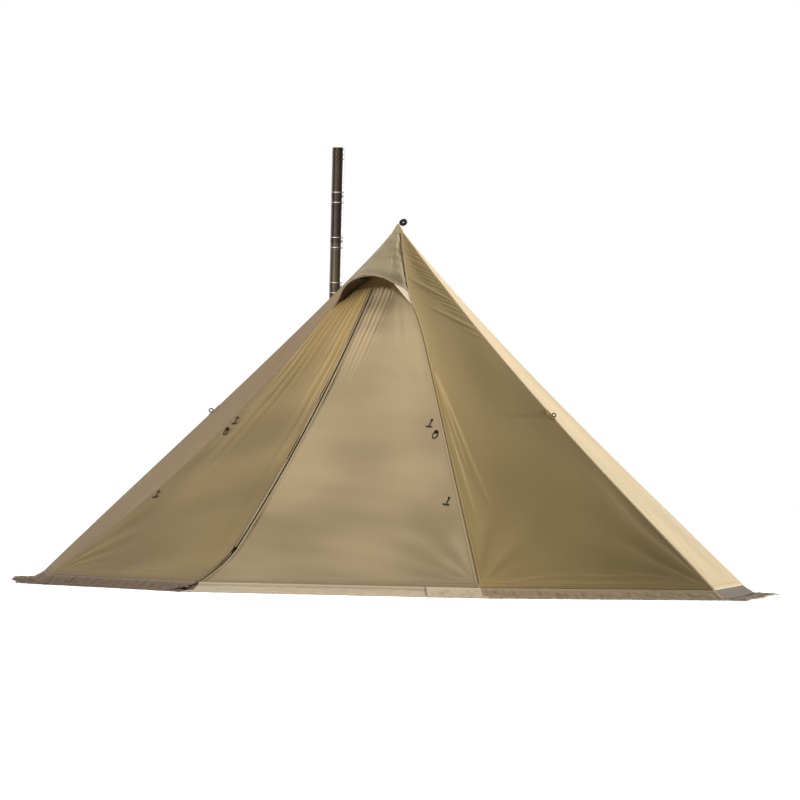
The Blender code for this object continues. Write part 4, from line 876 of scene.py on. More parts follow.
def hood_painted_shading(p, across, down, pushed):
    """Painted shade beside the right seam, where the hood turns in under the pull of the brim, and painted
    light at its top and along its brim.
    """
    share = np.sin((across - 0.5) * math.pi)
    turned_in_painted_shade = 2.2 * fade(share, 0.58, 0.22) * fade(down, 0.2, 0.4)
    paler = 1.4 * (1 - fade(down, 0, 0.45)) + 1.5 * bell(1 - down, 0.05)
    return fold_painted_shading(pushed, 0.003) + paler - turned_in_painted_shade - seam_shade(p)


khaki_hood = canvas("khaki_canvas_hood", (0.318, 0.252, 0.148), 0.75, 0.008, fold_shade=0.20)
cloth("hood", hood_place, (140, 90), khaki_hood, "tent", "vent_hood", folds=hood_folds, painted_shading=hood_painted_shading)


def net_side(u, v):
    """The net between the brim and the door's top on the left."""
    edge = brim(-0.995 + 0.85 * u) + np.array((0.0012, 0.0022, 0.0))
    middle, seam = ridge("front", edge[..., 2]), ridge("front_left", edge[..., 2])
    behind = mixed(middle, seam, np.clip(edge[..., 0] / seam[..., 0], 0, 0.995)) + np.array((0, 0.003, 0))
    return mixed(edge, behind, v)


# The side of the net takes the darkened copy, as painted shade under the hood.
cloth("vent_net_side", net_side, (60, 8), nets["brown_net_painted_shade"], "tent", lift=0.0, thick=0.0004,
      ends=(False, False))
cream = canvas("cream_lining", (0.80, 0.68, 0.47), 0.8, 0.003)
GUSSET_START, GUSSET_END = 0.62, 0.995


def gusset_place(u, v):
    first, last = brim(0 * u + GUSSET_START), brim(0 * u + GUSSET_END)
    inner = mixed(first, last, u) + np.array((0, 0.006, 0))
    outer = brim(GUSSET_START + (GUSSET_END - GUSSET_START) * u) + np.array((0, 0.0030, 0.0))
    return mixed(inner, outer, v)


cloth("vent_gusset", gusset_place, (30, 8), cream, "tent", lift=-0.001, thick=0.0006)
binding_tape = canvas("pale_binding", (0.60, 0.47, 0.36), 0.8, 0.0)
edge = brim(np.sin(np.linspace(-0.485, 0.485, 90) * math.pi)) + np.array((0, -0.0012, -0.0028))
stands(as_mesh(path_curve("brim_binding", edge, 0.0027), binding_tape), "tent", "hood_brim_binding")


# Apex. A sewn cap covers the point where the panels meet the pole, and a black webbing loop
# for hanging lights or lifting the tent leans over on top of it.
RING = ["front", "front_right", "side_right", "rear_right", "back", "rear_left", "side_left", "front_left"]
CAP_BASE, CAP_TIP = 1.7359, 1.784


def cap_place(u, v):
    bearings = np.array([-90.0] + [RIDGES[name][0] for name in RING[1:]] + [270.0])
    base = [HOOD_OUT * (APEX_HEIGHT - CAP_BASE) / (APEX_HEIGHT - HOOD_MIDDLE)]
    base += [float(length_of(ridge(name, CAP_BASE)[:2])) for name in RING[1:]]
    base = np.array(base + base[:1])
    z = CAP_TIP + (CAP_BASE - CAP_TIP) * v
    bearing = -90 + 360 * u
    corners = polar(bearings, base, 0 * base)
    spot = np.clip(np.searchsorted(bearings, bearing, side="right") - 1, 0, 7)
    share = (bearing - bearings[spot]) / (bearings[spot + 1] - bearings[spot])
    ground = mixed(corners[spot], corners[spot + 1], share)
    scale = (((CAP_TIP - z) / (CAP_TIP - CAP_BASE)) ** 0.85)[..., None]
    return np.concatenate([ground[..., :2] * scale, z[..., None]], axis=-1)


def bearing_of(face):
    return math.degrees(math.atan2(face.center.y, face.center.x))


# The cover is painted paler all over as painted light, and its faces over the right front and right panels
# take the painted-shade and sunny copies of the khaki.
cover = cloth("apex_cover", cap_place, (96, 14), khaki_hood, "tent", "apex_cap", lift=0.0012,
              thick=0.0012, ends=(False, False), painted_shading=lambda p, across, down, pushed: 2.2 + 0 * down)
cover.data.materials.append(khaki_painted_shade)
cover.data.materials.append(khaki_sunny)
for face in cover.data.polygons:
    face.material_index = 1 if -50 < bearing_of(face) < -7 else 2 if -7 <= bearing_of(face) < 41 else 0

black_webbing, tree, base = shader("black_webbing", (0.020, 0.019, 0.018), 0.7)
ribs = added(tree, "TexWave", Vector=on_object(tree), Scale=160.0, Distortion=1.5)
bumped(tree, base, ribs.outputs["Fac"], 0.6, 0.0006)

STRAP_WIDE, STRAP_THICK = 0.016, 0.0145
turn = np.linspace(0, math.tau, 48, endpoint=False)
lean = math.radians(26)
wide, tall = 0.0150 * np.cos(turn), 0.0108 * np.sin(turn) + 0.0125
loop = np.stack([0.022 + wide * math.cos(lean) + tall * math.sin(lean), 0 * turn,
                 1.7800 + tall * math.cos(lean) - wide * math.sin(lean) * 0.3], axis=-1)
strap = path_curve("lifting_loop", loop, STRAP_THICK / 2, 1, closed=True)
strap.data.extrude = STRAP_WIDE / 2 - STRAP_THICK / 2
strap.data.twist_mode = "MINIMUM"
stands(as_mesh(strap, black_webbing), "apex_ring", "apex_loop")


# Snow skirt. Brown flaps hang from the hem and lie out over the ground; the ones beside the
# doorway turn its corners, and the two across it swing with the doors.
HEM_CORNERS = {name: ridge(name, HEM_HEIGHT)[:2] for name in RING}
SKIRT_OUT = 0.165


def skirt_corner(name, out):
    """A hem corner moved out along its mitre."""
    place = RING.index(name)
    before, here, after = (HEM_CORNERS[RING[(place + step) % 8]] for step in (-1, 0, 1))
    first, second = (np.array((b[1] - a[1], a[0] - b[0])) / np.linalg.norm(b - a)
                     for a, b in ((before, here), (here, after)))
    mitre = (first + second) / (1 + first @ second)
    return here + mitre * np.asarray(out)[..., None]


def hem_run(a, b):
    return float(np.linalg.norm(HEM_CORNERS[b] - HEM_CORNERS[a]))


def skirt_place(legs, seed):
    """legs is a list of (corner, corner, first share, last share), laid end to end."""
    runs = np.array([hem_run(a, b) * (last - first) for a, b, first, last in legs])
    ends = np.concatenate([[0], np.cumsum(runs)]) / runs.sum()
    total = runs.sum()

    def place(u, v):
        u, v = np.broadcast_arrays(u, v)
        along = u * total
        out = SKIRT_OUT * v * (1 + 0.05 * np.cos(along * 7 + seed) * v
                               + 0.03 * np.cos(along * 23 + seed * 2) * v)
        spot = np.clip(np.searchsorted(ends, u, side="right") - 1, 0, len(legs) - 1)
        ground = np.zeros(u.shape + (2,))
        for number, (a, b, first, last) in enumerate(legs):
            share = first + (last - first) * (u - ends[number]) / (ends[number + 1] - ends[number])
            here = mixed(skirt_corner(a, out), skirt_corner(b, out), share)
            ground = np.where((spot == number)[..., None], here, ground)
        z = 0.0012 + 0.0432 * (1 - fade(out, 0, 0.062)) ** 1.3
        gather = fade(out, 0, 0.03) * fade(u * total, 0, 0.02) * fade((1 - u) * total, 0, 0.02)
        lies = np.abs(np.cos(along * 31 + seed + 9 * v) + 0.6 * np.cos(along * 57 - 14 * v + seed)) * 0.0030
        fringe = np.abs(np.cos(along * 118 + seed * 3)) * 0.0055 * fade(v, 0.86, 0.1)
        rolls = 0.0042 * np.abs(np.sin(v * 9 + 0.8 * np.cos(along * 2.2 + seed)))
        z = z + (lies + fringe + rolls) * gather * (1 - 0.75 * fade(v, 0.85, 0.12))
        return np.concatenate([ground, z[..., None]], axis=-1)
    return place


def skirt_painted_shading(word):
    """Painted light on a fold under the hem and at the tip of the left front flap, darker blotches, and
    painted shade on the drop beside the hem of the right door and right rear flaps.
    """
    def painted_shading(p, across, down, pushed):
        fold = 2.6 * bell(down - 0.030, 0.030)
        if word == "door_right":
            return fold - 2.3 * (1 - fade(down, 0.13, 0.06))
        if word == "right_rear":
            return -5.0 * (1 - fade(down, 0.34, 0.10)) + 0 * across
        blotches = np.cos(across * 61) * np.cos(across * 143 + 9 * down)
        blotches = blotches + 0.6 * np.cos(across * 217 - 14 * down)
        tip = 4.5 * fade(p[:, 0], -1.66, -0.12) if word == "left_front" else 0
        fold = fold if word in ("left_front", "door_left") else 0.3 * fold
        return fold + tip - 1.6 * np.maximum(blotches, 0) * (down > 0.1)
    return painted_shading


# The skirt cloth comes in copies: the pale one is painted light on the flaps across and beside the front,
# the shaded one is painted shade on the flaps on the left.
skirt_brown = canvas("brown_skirt", (0.24, 0.185, 0.125), 0.85, 0.004)
skirt_khaki = canvas("khaki_skirt", (0.36, 0.272, 0.160), 0.85, 0.004)
skirt_dark = canvas("shaded_skirt", (0.165, 0.108, 0.062), 0.85, 0.004, fold_shade=0.20)
skirt_painted_light = canvas("khaki_skirt_painted_light", (0.62, 0.50, 0.345), 0.85, 0.004)
WRAP_SHARE, DOOR_SHARE = (length / hem_run("front", "front_right") for length in (0.2492, 0.2495))
EDGE, FAR_EDGE = 0.0002, 0.9998
SKIRTS = {
    "right_front": ([("front", "front_right", 1 - WRAP_SHARE, 1),
                     ("front_right", "side_right", 0, FAR_EDGE)], "tent", skirt_khaki),
    "right_rear": ([("side_right", "rear_right", EDGE, FAR_EDGE)], "tent", skirt_brown),
    "back_right": ([("rear_right", "back", EDGE, FAR_EDGE)], "tent", skirt_brown),
    "back_left": ([("back", "rear_left", EDGE, FAR_EDGE)], "tent", skirt_brown),
    "left_rear": ([("rear_left", "side_left", EDGE, FAR_EDGE)], "tent", skirt_brown),
    "left_front": ([("side_left", "front_left", EDGE, 1),
                    ("front_left", "front", 0, WRAP_SHARE)], "tent", skirt_dark),
    "door_right": ([("front", "front_right", 0.0003, 1 - DOOR_SHARE)], "door_right", skirt_painted_light),
    "door_left": ([("front_left", "front", DOOR_SHARE, 0.9997)], "door_left", skirt_dark),
}
for seed, (word, (legs, body, finish)) in enumerate(SKIRTS.items()):
    flap = cloth("flap_" + word, skirt_place(legs, seed * 1.7), (200, 26), finish, body, "skirt_" + word,
                 lift=0.0008, thick=0.0010, painted_shading=skirt_painted_shading(word))
    # The part of this flap that faces the front takes the painted-light copy.
    if word == "right_front":
        flap.data.materials.append(skirt_painted_light)
        for face in flap.data.polygons:
            face.material_index = bearing_of(face) < RIDGES["front_right"][0]


# Zip slider. It sits near the foot of the zip with its pull hanging down, and below it the
# loose tail of the zip lies bunched on the ground with a small steel ring in it.
SLIDER_HEIGHT = 0.192
gunmetal, *_ = shader("gunmetal", (0.030, 0.028, 0.027), 0.35, 0.8)


def placed(obj, matrix, finish):
    """Put a piece where it belongs and keep its place in its mesh."""
    obj.matrix_world = matrix
    return as_mesh(obj, finish)


def joined(name, *pieces):
    only(*pieces)
    bpy.ops.object.join()
    pieces[0].name = name
    return pieces[0]


def axes(x_axis, y_axis, z_axis, origin):
    return Matrix.Translation(origin) @ Matrix((x_axis, y_axis, z_axis)).transposed().to_4x4()


def zip_axes(z, proud):
    """Axes on the zip: X across, Y up along it, Z out of it."""
    here, above, out = (Vector(arc_point(0, *at)) for at in ((z, 0), (z + 0.01, 0), (z, 1.0)))
    out = (out - here).normalized()
    up = (above - here).normalized()
    return axes(up.cross(out), up, out, here + out * proud)


def pick(parts, wanted):
    """Select the faces or edges that fit, and nothing else, in edit mode."""
    bpy.ops.object.mode_set(mode="EDIT")
    bpy.ops.mesh.select_all(action="DESELECT")
    bpy.ops.object.mode_set(mode="OBJECT")
    for part in getattr(bpy.context.object.data, parts):
        part.select = wanted(part)
    bpy.ops.object.mode_set(mode="EDIT")


def shaped_plate(name, length, width, thick, taper=1.0, rim=0.0):
    """A plate with rounded edges, narrower at its lower end, and dished inside a rim."""
    plate = block(name, (width, length, thick))
    for vertex in plate.data.vertices:
        if vertex.co.y < 0:
            vertex.co.x *= taper
    heights = [vertex.co.z for vertex in plate.data.vertices]
    pick("edges", lambda edge: abs(heights[edge.vertices[0]] - heights[edge.vertices[1]]) > thick / 2)
    bpy.ops.mesh.bevel(offset=width * 0.3, segments=5)
    if rim:
        pick("polygons", lambda face: face.normal.z > 0.9)
        bpy.ops.mesh.inset(thickness=rim, depth=-thick * 0.2)
    bpy.ops.object.mode_set(mode="OBJECT")
    applied(plate, "BEVEL", width=thick * 0.15, segments=2)
    return plate


on_zip = zip_axes(SLIDER_HEIGHT, 0.001)
plates = []
for level in (-0.0045, 0.0045):
    plate = shaped_plate("slider_plate", 0.022, 0.014, 0.002, 0.72)
    plates.append(placed(plate, on_zip @ Matrix.Translation((0, 0, level)), gunmetal))
web = shaped_plate("slider_web", 0.006, 0.0016, 0.0076)
plates.append(placed(web, on_zip @ Matrix.Translation((0, 0.006, 0)), gunmetal))
bail = [on_zip @ Vector((0, 0.007 - 0.004 * math.cos(a), 0.0053 + 0.0028 * math.sin(a)))
        for a in np.linspace(0, math.pi, 14)]
plates.append(as_mesh(path_curve("slider_bail", bail, 0.0007, 2), gunmetal))
stands(joined("zip_runner", *plates), "slider", "zip_slider")

tab = shaped_plate("pull_tab", 0.045, 0.008, 0.002, 0.85, 0.0012)
pull_top = on_zip @ Matrix.Translation((0, 0.007, 0.0071))
stands(placed(tab, pull_top @ Matrix.Translation((0, -0.0195, 0)), gunmetal), "pull", "zip_pull")

TAIL_START, TAIL_END = Vector((-0.002, -1.853, 0.052)), Vector((-0.130, -1.925, 0.004))


def tail_place(u, v):
    start, end = np.asarray(TAIL_START), np.asarray(TAIL_END)
    line = start + (end - start) * u[..., None] ** np.array((1, 1, 0.55))
    width = 0.030 * np.sin((0.16 + 0.80 * u ** 0.7) * math.pi) ** 0.7
    crumple = 0.0045 * np.cos(u * 44 + 6 * v) * np.sin(v * math.pi) + 0.003 * np.cos(u * 83 - 4 * v)
    p = line + np.stack([0.25 * width * v, -0.55 * width * v, -0.9 * width * v], axis=-1)
    p[..., 1] -= 0.010 + crumple
    p[..., 2] = np.maximum(p[..., 2] + 0.3 * crumple, 0.0035)
    return p


tail_black = canvas("dark_zip_tail", (0.045, 0.030, 0.020), 0.8, 0.0)
cloth("zip_tail", tail_place, (90, 14), tail_black, "door_left", thick=0.0014,
      ends=(False, False))
steel, *_ = shader("bright_steel", (0.80, 0.79, 0.77), 0.18, 1.0)
RING_TURN = np.linspace(0, math.tau, 30, endpoint=False)
RING_MIDDLE = Vector((-0.032, -1.902, 0.014))
ring = [RING_MIDDLE + Vector((0.0085 * math.cos(a), -0.004 * math.sin(a), 0.0085 * math.sin(a)))
        for a in RING_TURN]
stands(as_mesh(path_curve("tail_ring", ring, 0.0021, closed=True), steel), "door_left")


# Toggles and loops. Black toggles hang on short cord loops from stitched tabs beside the door
# seams to tie the rolled doors back, the loops that they close into are sewn below the upper
# pair, and three ridges carry a black guy loop on a small stitched patch.
def door_spot(side, x, z):
    middle, seam = ridge("front", z), ridge(door_seam(side), z)
    return Vector(mixed(middle, seam, x / abs(seam[0])))


def on_door(side, z, from_seam, proud):
    """Axes on a door: X across, Y up the slope, Z out of it."""
    x = abs(float(ridge(door_seam(side), z)[0])) - from_seam
    here, above, inner = (door_spot(side, *at) for at in ((x, z), (x, z + 0.05), (x - 0.05, z)))
    rise = (above - here).normalized()
    out = (inner - here).cross(rise).normalized()
    out = -out if out.y > 0 else out
    rise = (rise - out * rise.dot(out)).normalized()
    return axes(rise.cross(out), rise, out, here + out * proud)


def turned(name, profile, finish, body=None, node=None, at=(0, 0, 0), steps=64):
    """A solid of revolution about a vertical axis; profile is a closed line of (radius, height)."""
    obj = new_mesh("circle", name, vertices=len(profile))
    for vertex, (radius, height) in zip(obj.data.vertices, profile):
        vertex.co = (radius, 0, height)
    bpy.ops.object.mode_set(mode="EDIT")
    bpy.ops.mesh.select_all(action="SELECT")
    bpy.ops.mesh.spin(steps=steps, angle=math.tau, center=(0, 0, 0), axis=(0, 0, 1))
    bpy.ops.mesh.select_all(action="SELECT")
    bpy.ops.mesh.remove_doubles(threshold=2e-5)
    bpy.ops.mesh.normals_make_consistent(inside=False)
    bpy.ops.object.mode_set(mode="OBJECT")
    placed(obj, Matrix.Translation(at), finish)
    if body:
        stands(obj, body, node)
    return obj


black_plastic, tree, base = shader("black_plastic", (0.022, 0.021, 0.020), 0.38)
bumped(tree, base, noise(tree, 700.0, 2.0), 0.25, 0.0003)

CATCH_HEIGHT = 0.742
LOOP_FROM_SEAM = {-1: 0.045, 1: 0.048}
BARREL = [(0.0, -0.017), (0.0016, -0.017), (0.0026, -0.0163), (0.0029, -0.015), (0.0027, -0.010),
          (0.0026, -0.003), (0.0020, -0.0018)]
BARREL += [(radius, -height) for radius, height in reversed(BARREL)]
BIGHT = [(0.0012, 0.000, 0), (0.0017, -0.012, 0), (0.0021, -0.028, 0.0004), (0.0023, -0.034, 0.0014),
         (0.0019, -0.0385, 0.0018), (0.0, -0.0396, 0.0019)]
BIGHT += [(-x, y, z) for x, y, z in reversed(BIGHT[:-1])]
for side, word in SIDES.items():
    for level, height in TOGGLES.items():
        title = word + "_" + level
        hang = on_door(side, height, TOGGLE_FROM_SEAM[side], 0.0058)
        bar = turned("toggle_bar", BARREL, black_plastic, steps=28)
        across = hang @ Matrix.Translation((0, -0.037, 0)) @ Matrix.Rotation(math.pi / 2, 4, "Y")
        placed(bar, across, black_plastic)
        cord = path_curve("toggle_cord", [hang @ Vector(point) for point in BIGHT], 0.0011)
        tab = shaped_plate("toggle_tab_" + title, 0.012, 0.010, 0.0016)
        stands(placed(tab, hang @ Matrix.Translation((0, 0.004, -0.001)), black_webbing), "door_" + word)
        toggle = joined("toggle_" + title + "_bar", bar, as_mesh(cord, black_webbing))
        stands(toggle, "toggle_" + title + "_body", "toggle_" + title)
    hang = on_door(side, CATCH_HEIGHT, LOOP_FROM_SEAM[side], 0.0062)
    oval = [hang @ Vector((0.0125 * math.cos(a), 0.0205 * math.sin(a), 0.0006 * math.cos(3 * a)))
            for a in RING_TURN]
    catch = as_mesh(path_curve("catch_loop", oval, 0.0022, closed=True), black_webbing)
    tab = shaped_plate("catch_tab", 0.014, 0.020, 0.0022)
    placed(tab, hang @ Matrix.Translation((0, 0.019, -0.001)), black_webbing)
    stands(joined("catch_loop_" + word, catch, tab), "door_" + word, "toggle_loop_" + word)

GUY_HEIGHT = 0.857
GUY_RIDGES = {"right": ("front_right", "side_right", "rear_right"),
              "back": ("rear_right", "back", "rear_left"),
              "left": ("rear_left", "side_left", "front_left")}


def guy_patch(before, name, after):
    """A patch folded over a ridge, tapered towards its upper and lower ends."""
    def place(u, v):
        z = GUY_HEIGHT + 0.024 - 0.048 * v
        middle = ridge(name, z)
        reach = 0.030 * (1 - np.abs(v - 0.5))
        far = np.where((u < 0.5)[..., None], ridge(before, z), ridge(after, z))
        return mixed(middle, far, np.abs(u - 0.5) * 2 * reach / length_of(far - middle))
    return place


for word, names in GUY_RIDGES.items():
    corner = Vector(ridge(names[1], GUY_HEIGHT))
    outward = Vector((corner.x, corner.y, 0)).normalized()
    aside = outward.cross(Vector((0, 0, 1)))
    line = [corner + outward * (0.0165 + 0.0105 * math.cos(a)) + Vector((0, 0, 0.0085 * math.sin(a)))
            + aside * 0.002 * math.sin(a) for a in RING_TURN]
    guy = as_mesh(path_curve("guy_cord_" + word, line, 0.0028, closed=True), black_webbing)
    stands(guy, "tent", "guy_loop_" + word)
    # The right patch takes the painted-shade copy of the khaki.
    cloth("guy_patch_" + word, guy_patch(*names), (24, 16), khaki_painted_shade if word == "right" else khaki_rear,
          "tent", lift=0.0030, thick=0.0012)


# Flue. Seven sections with a pressed bead near each end plug into each other and a spark
# arrestor with six rows of holes closes the top. The heat has stained each one differently.
FLUE = Vector((-0.461311, 0.215113, 0.0))
FLUE_RADIUS, FLUE_WALL = 0.030, 0.0008
FLUE_START, FLUE_PITCH = 0.3553, 0.2248
FLUE_TINTS = [(0.060, 0.050, 0.060), (0.090, 0.070, 0.055), (0.110, 0.085, 0.060), (0.105, 0.080, 0.060),
              (0.125, 0.100, 0.070), (0.150, 0.122, 0.085), (0.088, 0.066, 0.060), (0.094, 0.068, 0.046)]
# painted highlight and shade across the front of the flue, from its left to its right
FLUE_PAINTED_SHADING = ((0, 0.24), (0.12, 0.22), (0.21, 0.28), (0.34, 1.0), (0.44, 0.52), (0.56, 0.36), (0.68, 0.18),
        (0.80, 0.07), (1, 0.08))
ACROSS_FRONT = (0.882, 0.471)


def make_heat_stain():
    """Blued and browned steel: a tint for each section, darker drips, a painted highlight on the beads,
    and a painted highlight in a band down the front with painted shade on either side of it."""
    group, _, made = effect("heat_stain", ("Colour", "Roughness"))
    plus, minus, times, _ = sums(group)
    centred = added(group, "Mapping", Vector=on_object(group), Location=-FLUE).outputs[0]
    x, y, z = added(group, "SeparateXYZ", centred).outputs
    section = math_node(group, "DIVIDE", minus(z, FLUE_START), FLUE_PITCH * len(FLUE_TINTS))
    tints = colour_ramp(group, section, [(number / len(FLUE_TINTS), (*tint, 1))
                                         for number, tint in enumerate(FLUE_TINTS)])
    tints.color_ramp.interpolation = "CONSTANT"
    stretched = added(group, "Mapping", Vector=centred, Scale=(9, 9, 2)).outputs[0]
    drips = noise(group, 7.0, 4.0, 0.65, stretched)
    tinted = scaled(group, tints.outputs[0], plus(0.55, times(drips, 0.9)))
    across = math_node(group, "SQRT", plus(times(x, x), times(y, y)))
    # The beads are painted pale, as a painted highlight.
    wear_and_highlight = added(group, "MapRange", Value=across, From_Min=FLUE_RADIUS + 0.0012,
                 From_Max=FLUE_RADIUS + 0.0022)
    painted_bead_highlight = group.nodes.new("ShaderNodeMix")
    painted_bead_highlight.data_type = "RGBA"
    for socket, value in zip((0, 6, 7), (wear_and_highlight.outputs[0], tinted, (0.95, 0.82, 0.68, 1))):
        put(group, painted_bead_highlight.inputs[socket], value)
    # A painted highlight down the front of the flue and painted shade to its sides.
    sideways = plus(times(x, ACROSS_FRONT[0]), times(y, ACROSS_FRONT[1]))
    around = added(group, "MapRange", Value=sideways, From_Min=-0.03, From_Max=0.03)
    painted_band = colour_ramp(group, around.outputs[0], [(stop, (level, level, level, 1)) for stop, level in FLUE_PAINTED_SHADING])
    painted_band_colour = scaled(group, painted_bead_highlight.outputs[2], times(painted_band.outputs[0], 2.5))
    fed(group, made, Colour=painted_band_colour, Roughness=plus(0.28, times(drips, 0.25)))
    return group


stained_steel, tree, base = shader("stained_steel", FLUE_TINTS[0], 0.4, 0.15)
stain = grouped(tree, make_heat_stain())
fed(tree, base, Base_Color=stain["Colour"], Roughness=stain["Roughness"], Specular_IOR_Level=0.15)


def flue_bead(height):
    return [(FLUE_RADIUS + 0.0025 * math.cos(swell * math.pi / 2), height + 0.004 * swell)
            for swell in np.linspace(1, -1, 9)]


def flue_outline(low, high, top_bead=True):
    """Outer wall from the top down with its beads, the spigot below, and back up inside."""
    bore, spigot, foot = FLUE_RADIUS - FLUE_WALL, FLUE_RADIUS - FLUE_WALL - 0.0003, low - 0.040
    outer = [(FLUE_RADIUS, high)] + (flue_bead(high - 0.025) if top_bead else []) + flue_bead(low + 0.025)
    return outer + [(FLUE_RADIUS, low + 0.0005), (FLUE_RADIUS - 0.0004, low), (spigot, low),
                    (spigot, foot), (spigot - FLUE_WALL, foot), (spigot - FLUE_WALL, low + FLUE_WALL),
                    (bore, low + FLUE_WALL), (bore, high)]


DAMPER_MIDDLE = Vector((FLUE.x, FLUE.y, 0.4603))
pattern = turned("flue_pattern", flue_outline(FLUE_START, FLUE_START + FLUE_PITCH - 0.0003),
                 stained_steel, at=FLUE, steps=48)
for number in range(7):
    section = pattern.copy()
    section.data = pattern.data.copy()
    section.name = section.data.name = "flue_" + str(number + 1)
    bpy.context.collection.objects.link(section)
    section.location.z = FLUE_PITCH * number + (0.0003 if number else 0)
    only(section)
    bpy.ops.object.transform_apply(location=True, rotation=False, scale=False)
    if number == 0:
        carved(section, new_mesh("cylinder", "shaft_hole", radius=0.0024, depth=0.12, vertices=20,
                                 location=DAMPER_MIDDLE, rotation=(0, math.pi / 2, 0)))
    stands(section, "tent", "flue_section_" + str(number + 1))
bpy.data.objects.remove(pattern, do_unlink=True)

ARRESTOR_LOW = FLUE_START + 7 * FLUE_PITCH + 0.0003
ARRESTOR_TOP = ARRESTOR_LOW + 0.249
inner_top = ARRESTOR_TOP - FLUE_WALL
outline = [(0, ARRESTOR_TOP), (FLUE_RADIUS - 0.002, ARRESTOR_TOP), (FLUE_RADIUS, ARRESTOR_TOP - 0.002)]
outline += flue_outline(ARRESTOR_LOW, inner_top, False)[1:] + [(0, inner_top)]
arrestor = turned("arrestor", outline, stained_steel, "arrestor", "spark_arrestor", at=FLUE, steps=48)
drills = []
for row in range(6):
    for number in range(4):
        bearing = math.tau * (number + (row % 2) / 2 + 0.874) / 8
        height = ARRESTOR_TOP - 0.012 - 0.0118 * row
        drills.append(new_mesh("cylinder", "hole_drill", radius=0.0036, depth=0.09, vertices=16,
                               location=(FLUE.x, FLUE.y, height), rotation=(0, math.pi / 2, bearing)))
carved(arrestor, joined("hole_drills", *drills))

black_iron, tree, base = shader("black_iron", (0.030, 0.028, 0.027), 0.55, 0.4)
wear_and_highlight = added(tree, "MapRange", Value=noise(tree, 14.0, 5.0, 0.7), From_Min=0.35, From_Max=0.70,
             To_Min=0.42, To_Max=0.72)
fed(tree, base, Roughness=wear_and_highlight.outputs[0])
bumped(tree, base, noise(tree, 260.0, 4.0), 0.3, 0.0004)

ROD = [(-0.0355, 0), (0, 0), (0.0330, 0), (0.0350, -0.0006), (0.0358, -0.0022), (0.0360, -0.006),
       (0.0360, -0.0525)]
rod = [DAMPER_MIDDLE + Vector((x, 0, z)) for x, z in ROD]
spindle = as_mesh(path_curve("damper_rod", rod, 0.0019), black_iron)
disc = new_mesh("cylinder", "damper_disc", radius=0.025, depth=0.0015, vertices=48,
                location=DAMPER_MIDDLE, rotation=(math.pi / 2, 0, 0))
applied(disc, "BEVEL", width=0.0004, segments=2)
stands(joined("damper_valve", as_mesh(disc, black_iron), spindle), "damper_plate", "damper")


# Stove jack. A black heatproof patch, stitched round its border, lines the opening and fits
# the flue closely; the khaki storm flap above it covers the hole when the stove is packed.
def on_jack(sideways, upwards):
    """A point on the panel: distances from the flue along and up the slope."""
    z = JACK_MIDDLE.z + upwards * JACK_RISE.z
    start, end = ridge("rear_left", z), ridge("side_left", z)
    along = (end - start) / length_of(end - start)[..., None]
    spot = np.asarray(JACK_MIDDLE) + np.asarray(JACK_RISE) * upwards[..., None]
    drift = ((spot - start) * along).sum(axis=-1)
    return start + along * (drift + sideways)[..., None]


def jack_sheet(width, low, high):
    def place(u, v):
        u, v = np.broadcast_arrays(u, v)
        return on_jack((u - 0.5) * width, high + (low - high) * v)
    return place


heatproof = canvas("heatproof_fabric", (0.035, 0.033, 0.030), 0.9, 0.010, 0.0008)
patch = cloth("jack_patch", jack_sheet(0.184, -0.112, 0.112), (60, 70), heatproof, "tent",
              "stove_jack_patch", lift=0.0038, thick=0.0018)
carved(patch, new_mesh("cylinder", "flue_hole", radius=0.0331, depth=0.4, vertices=64,
                       location=JACK_MIDDLE))
cloth("jack_flap", jack_sheet(0.13, 0.114, 0.264), (40, 46), khaki_rear, "jack_flap", "stove_jack_flap",
      lift=0.0038, thick=0.0014,
      folds=lambda p, across, down, side, hem: 0.0008 * np.abs(np.cos(across * 9 + down * 2)))


# Pole. A rubber foot, a lower and an upper aluminium tube, the ribbed collar that clamps
# them at the chosen height, and a rounded tip under the apex.
aluminium, tree, base = shader("brushed_aluminium", (0.62, 0.62, 0.63), 0.35, 1.0)
drawn = added(tree, "Mapping", Vector=on_object(tree), Scale=(1, 1, 60)).outputs[0]
lines = added(tree, "MapRange", Value=noise(tree, 30.0, 3.0, where=drawn), To_Min=0.26, To_Max=0.48)
fed(tree, base, Roughness=lines.outputs[0])
black_rubber, *_ = shader("black_rubber", (0.020, 0.020, 0.021), 0.75)

POLE_RADIUS, POLE_WALL = 0.016, 0.0015
BORE = POLE_RADIUS - POLE_WALL
PLUG, UPPER_RADIUS = BORE - 0.0003, BORE - 0.0004
UPPER_BORE = UPPER_RADIUS - POLE_WALL
NECK = UPPER_BORE - 0.0003
treads = [(0.024 - (0.0012 if step % 2 else 0), 0.0015 + 0.0070 * step / 6) for step in range(6, -1, -1)]
turned("pole_boot", [(0, 0.035), (PLUG, 0.035), (PLUG, 0.010), (0.0232, 0.010), *treads,
                     (0.0225, 0), (0, 0)], black_rubber, "tent", "pole_foot")
turned("lower_tube", [(POLE_RADIUS, 1.0195), (POLE_RADIUS, 0.0110), (POLE_RADIUS - 0.0004, 0.0103),
                      (BORE, 0.0103), (BORE, 1.02), (POLE_RADIUS - 0.0004, 1.02)],
       aluminium, "tent", "pole_lower")
grips = [(0.022 - (0.0010 if step % 2 else 0), 1.036 - 0.043 * step / 14) for step in range(15)]
COLLAR_BORE = UPPER_RADIUS + 0.0004
turned("clamp_collar", [(0.0187, 1.042), *grips, (0.0187, 0.987), (0.0164, 0.987), (0.0164, 1.0203),
                        (COLLAR_BORE, 1.0203), (COLLAR_BORE, 1.042)],
       black_plastic, "collar", "pole_collar")
turned("upper_tube", [(UPPER_RADIUS, 1.722), (UPPER_RADIUS, 0.7404), (UPPER_BORE, 0.74),
                      (UPPER_BORE, 1.722)], aluminium, "upper_pole", "pole_upper")
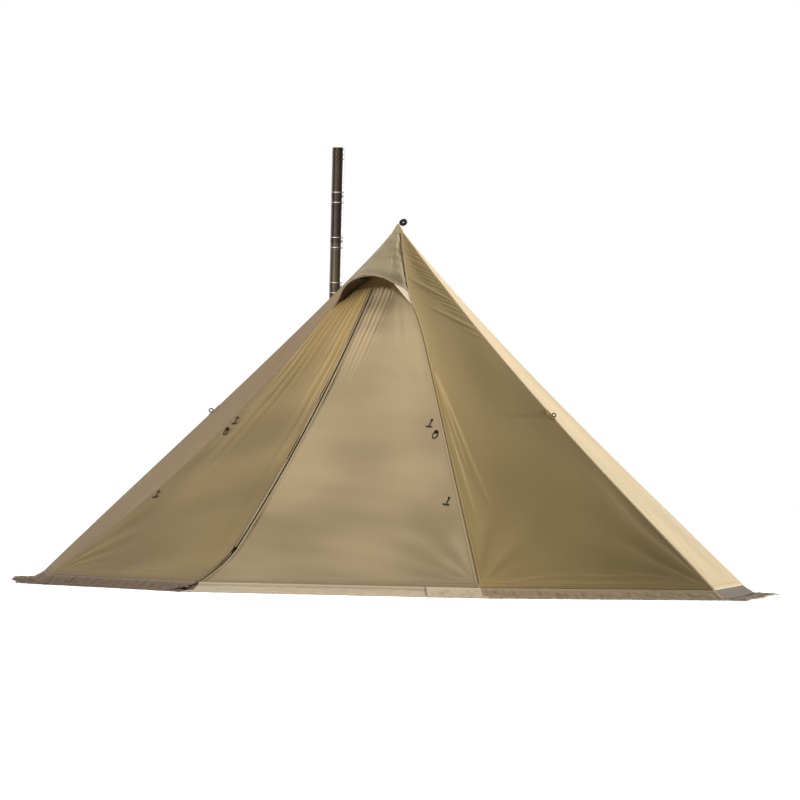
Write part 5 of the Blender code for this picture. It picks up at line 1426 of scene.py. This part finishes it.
dome = [(UPPER_RADIUS * math.cos(a), 1.7536 + 0.0134 * math.sin(a))
        for a in np.linspace(math.pi / 2, 0, 12)]
turned("tip_cap", [(0, 1.767), *dome[1:], (UPPER_RADIUS, 1.7223), (NECK, 1.7223), (NECK, 1.692),
                   (0, 1.692)], black_plastic, "upper_pole", "pole_tip")


# Stove. A black steel firebox on four folding legs stands under the flue, with a door that
# has three air holes and a turning latch. It shows only when the doors are open.
for name in ("stove_body", "stove_leg_front_left", "stove_leg_front_right", "stove_leg_rear_left",
             "stove_leg_rear_right", "stove_latch"):
    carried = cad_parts[name]
    carried.data.materials.clear()
    carried.data.materials.append(stained_steel if name == "stove_latch" else black_iron)

DOOR_MIDDLE = Vector((-0.46131, -0.13219, 0.25))
HINGE = Vector((-0.55831, -0.13419, 0.25))
ARM_MIDDLE = Vector((-0.55431, -0.13219, 0.25))
AIR_HOLES = [(DOOR_MIDDLE.x + 0.024 * step, DOOR_MIDDLE.y, 0.205) for step in (-1, 0, 1)]
front = block("firebox_door", (0.186, 0.004, 0.166))
applied(front, "BEVEL", width=0.0012, segments=3)
pick("polygons", lambda face: face.normal.y < -0.99 and face.area > 0.01)
bpy.ops.mesh.inset(thickness=0.014, depth=0)
bpy.ops.mesh.inset(thickness=0.004, depth=-0.0012)
bpy.ops.object.mode_set(mode="OBJECT")
placed(front, Matrix.Translation(DOOR_MIDDLE), black_iron)
carved(front, joined("air_holes", *[
    new_mesh("cylinder", "air_hole", radius=0.006, depth=0.03, vertices=24, location=place,
             rotation=(math.pi / 2, 0, 0)) for place in AIR_HOLES]))
barrel = new_mesh("cylinder", "door_barrel", radius=0.004, depth=0.0553, vertices=32, location=HINGE)
applied(barrel, "BEVEL", width=0.0006, segments=2)
arm = block("door_arm", (0.008, 0.0032, 0.0498))
applied(arm, "BEVEL", width=0.0006, segments=2)
placed(arm, Matrix.Translation(ARM_MIDDLE), black_iron)
stands(joined("firebox_door", front, as_mesh(barrel, black_iron), arm), "stove_front", "stove_door")
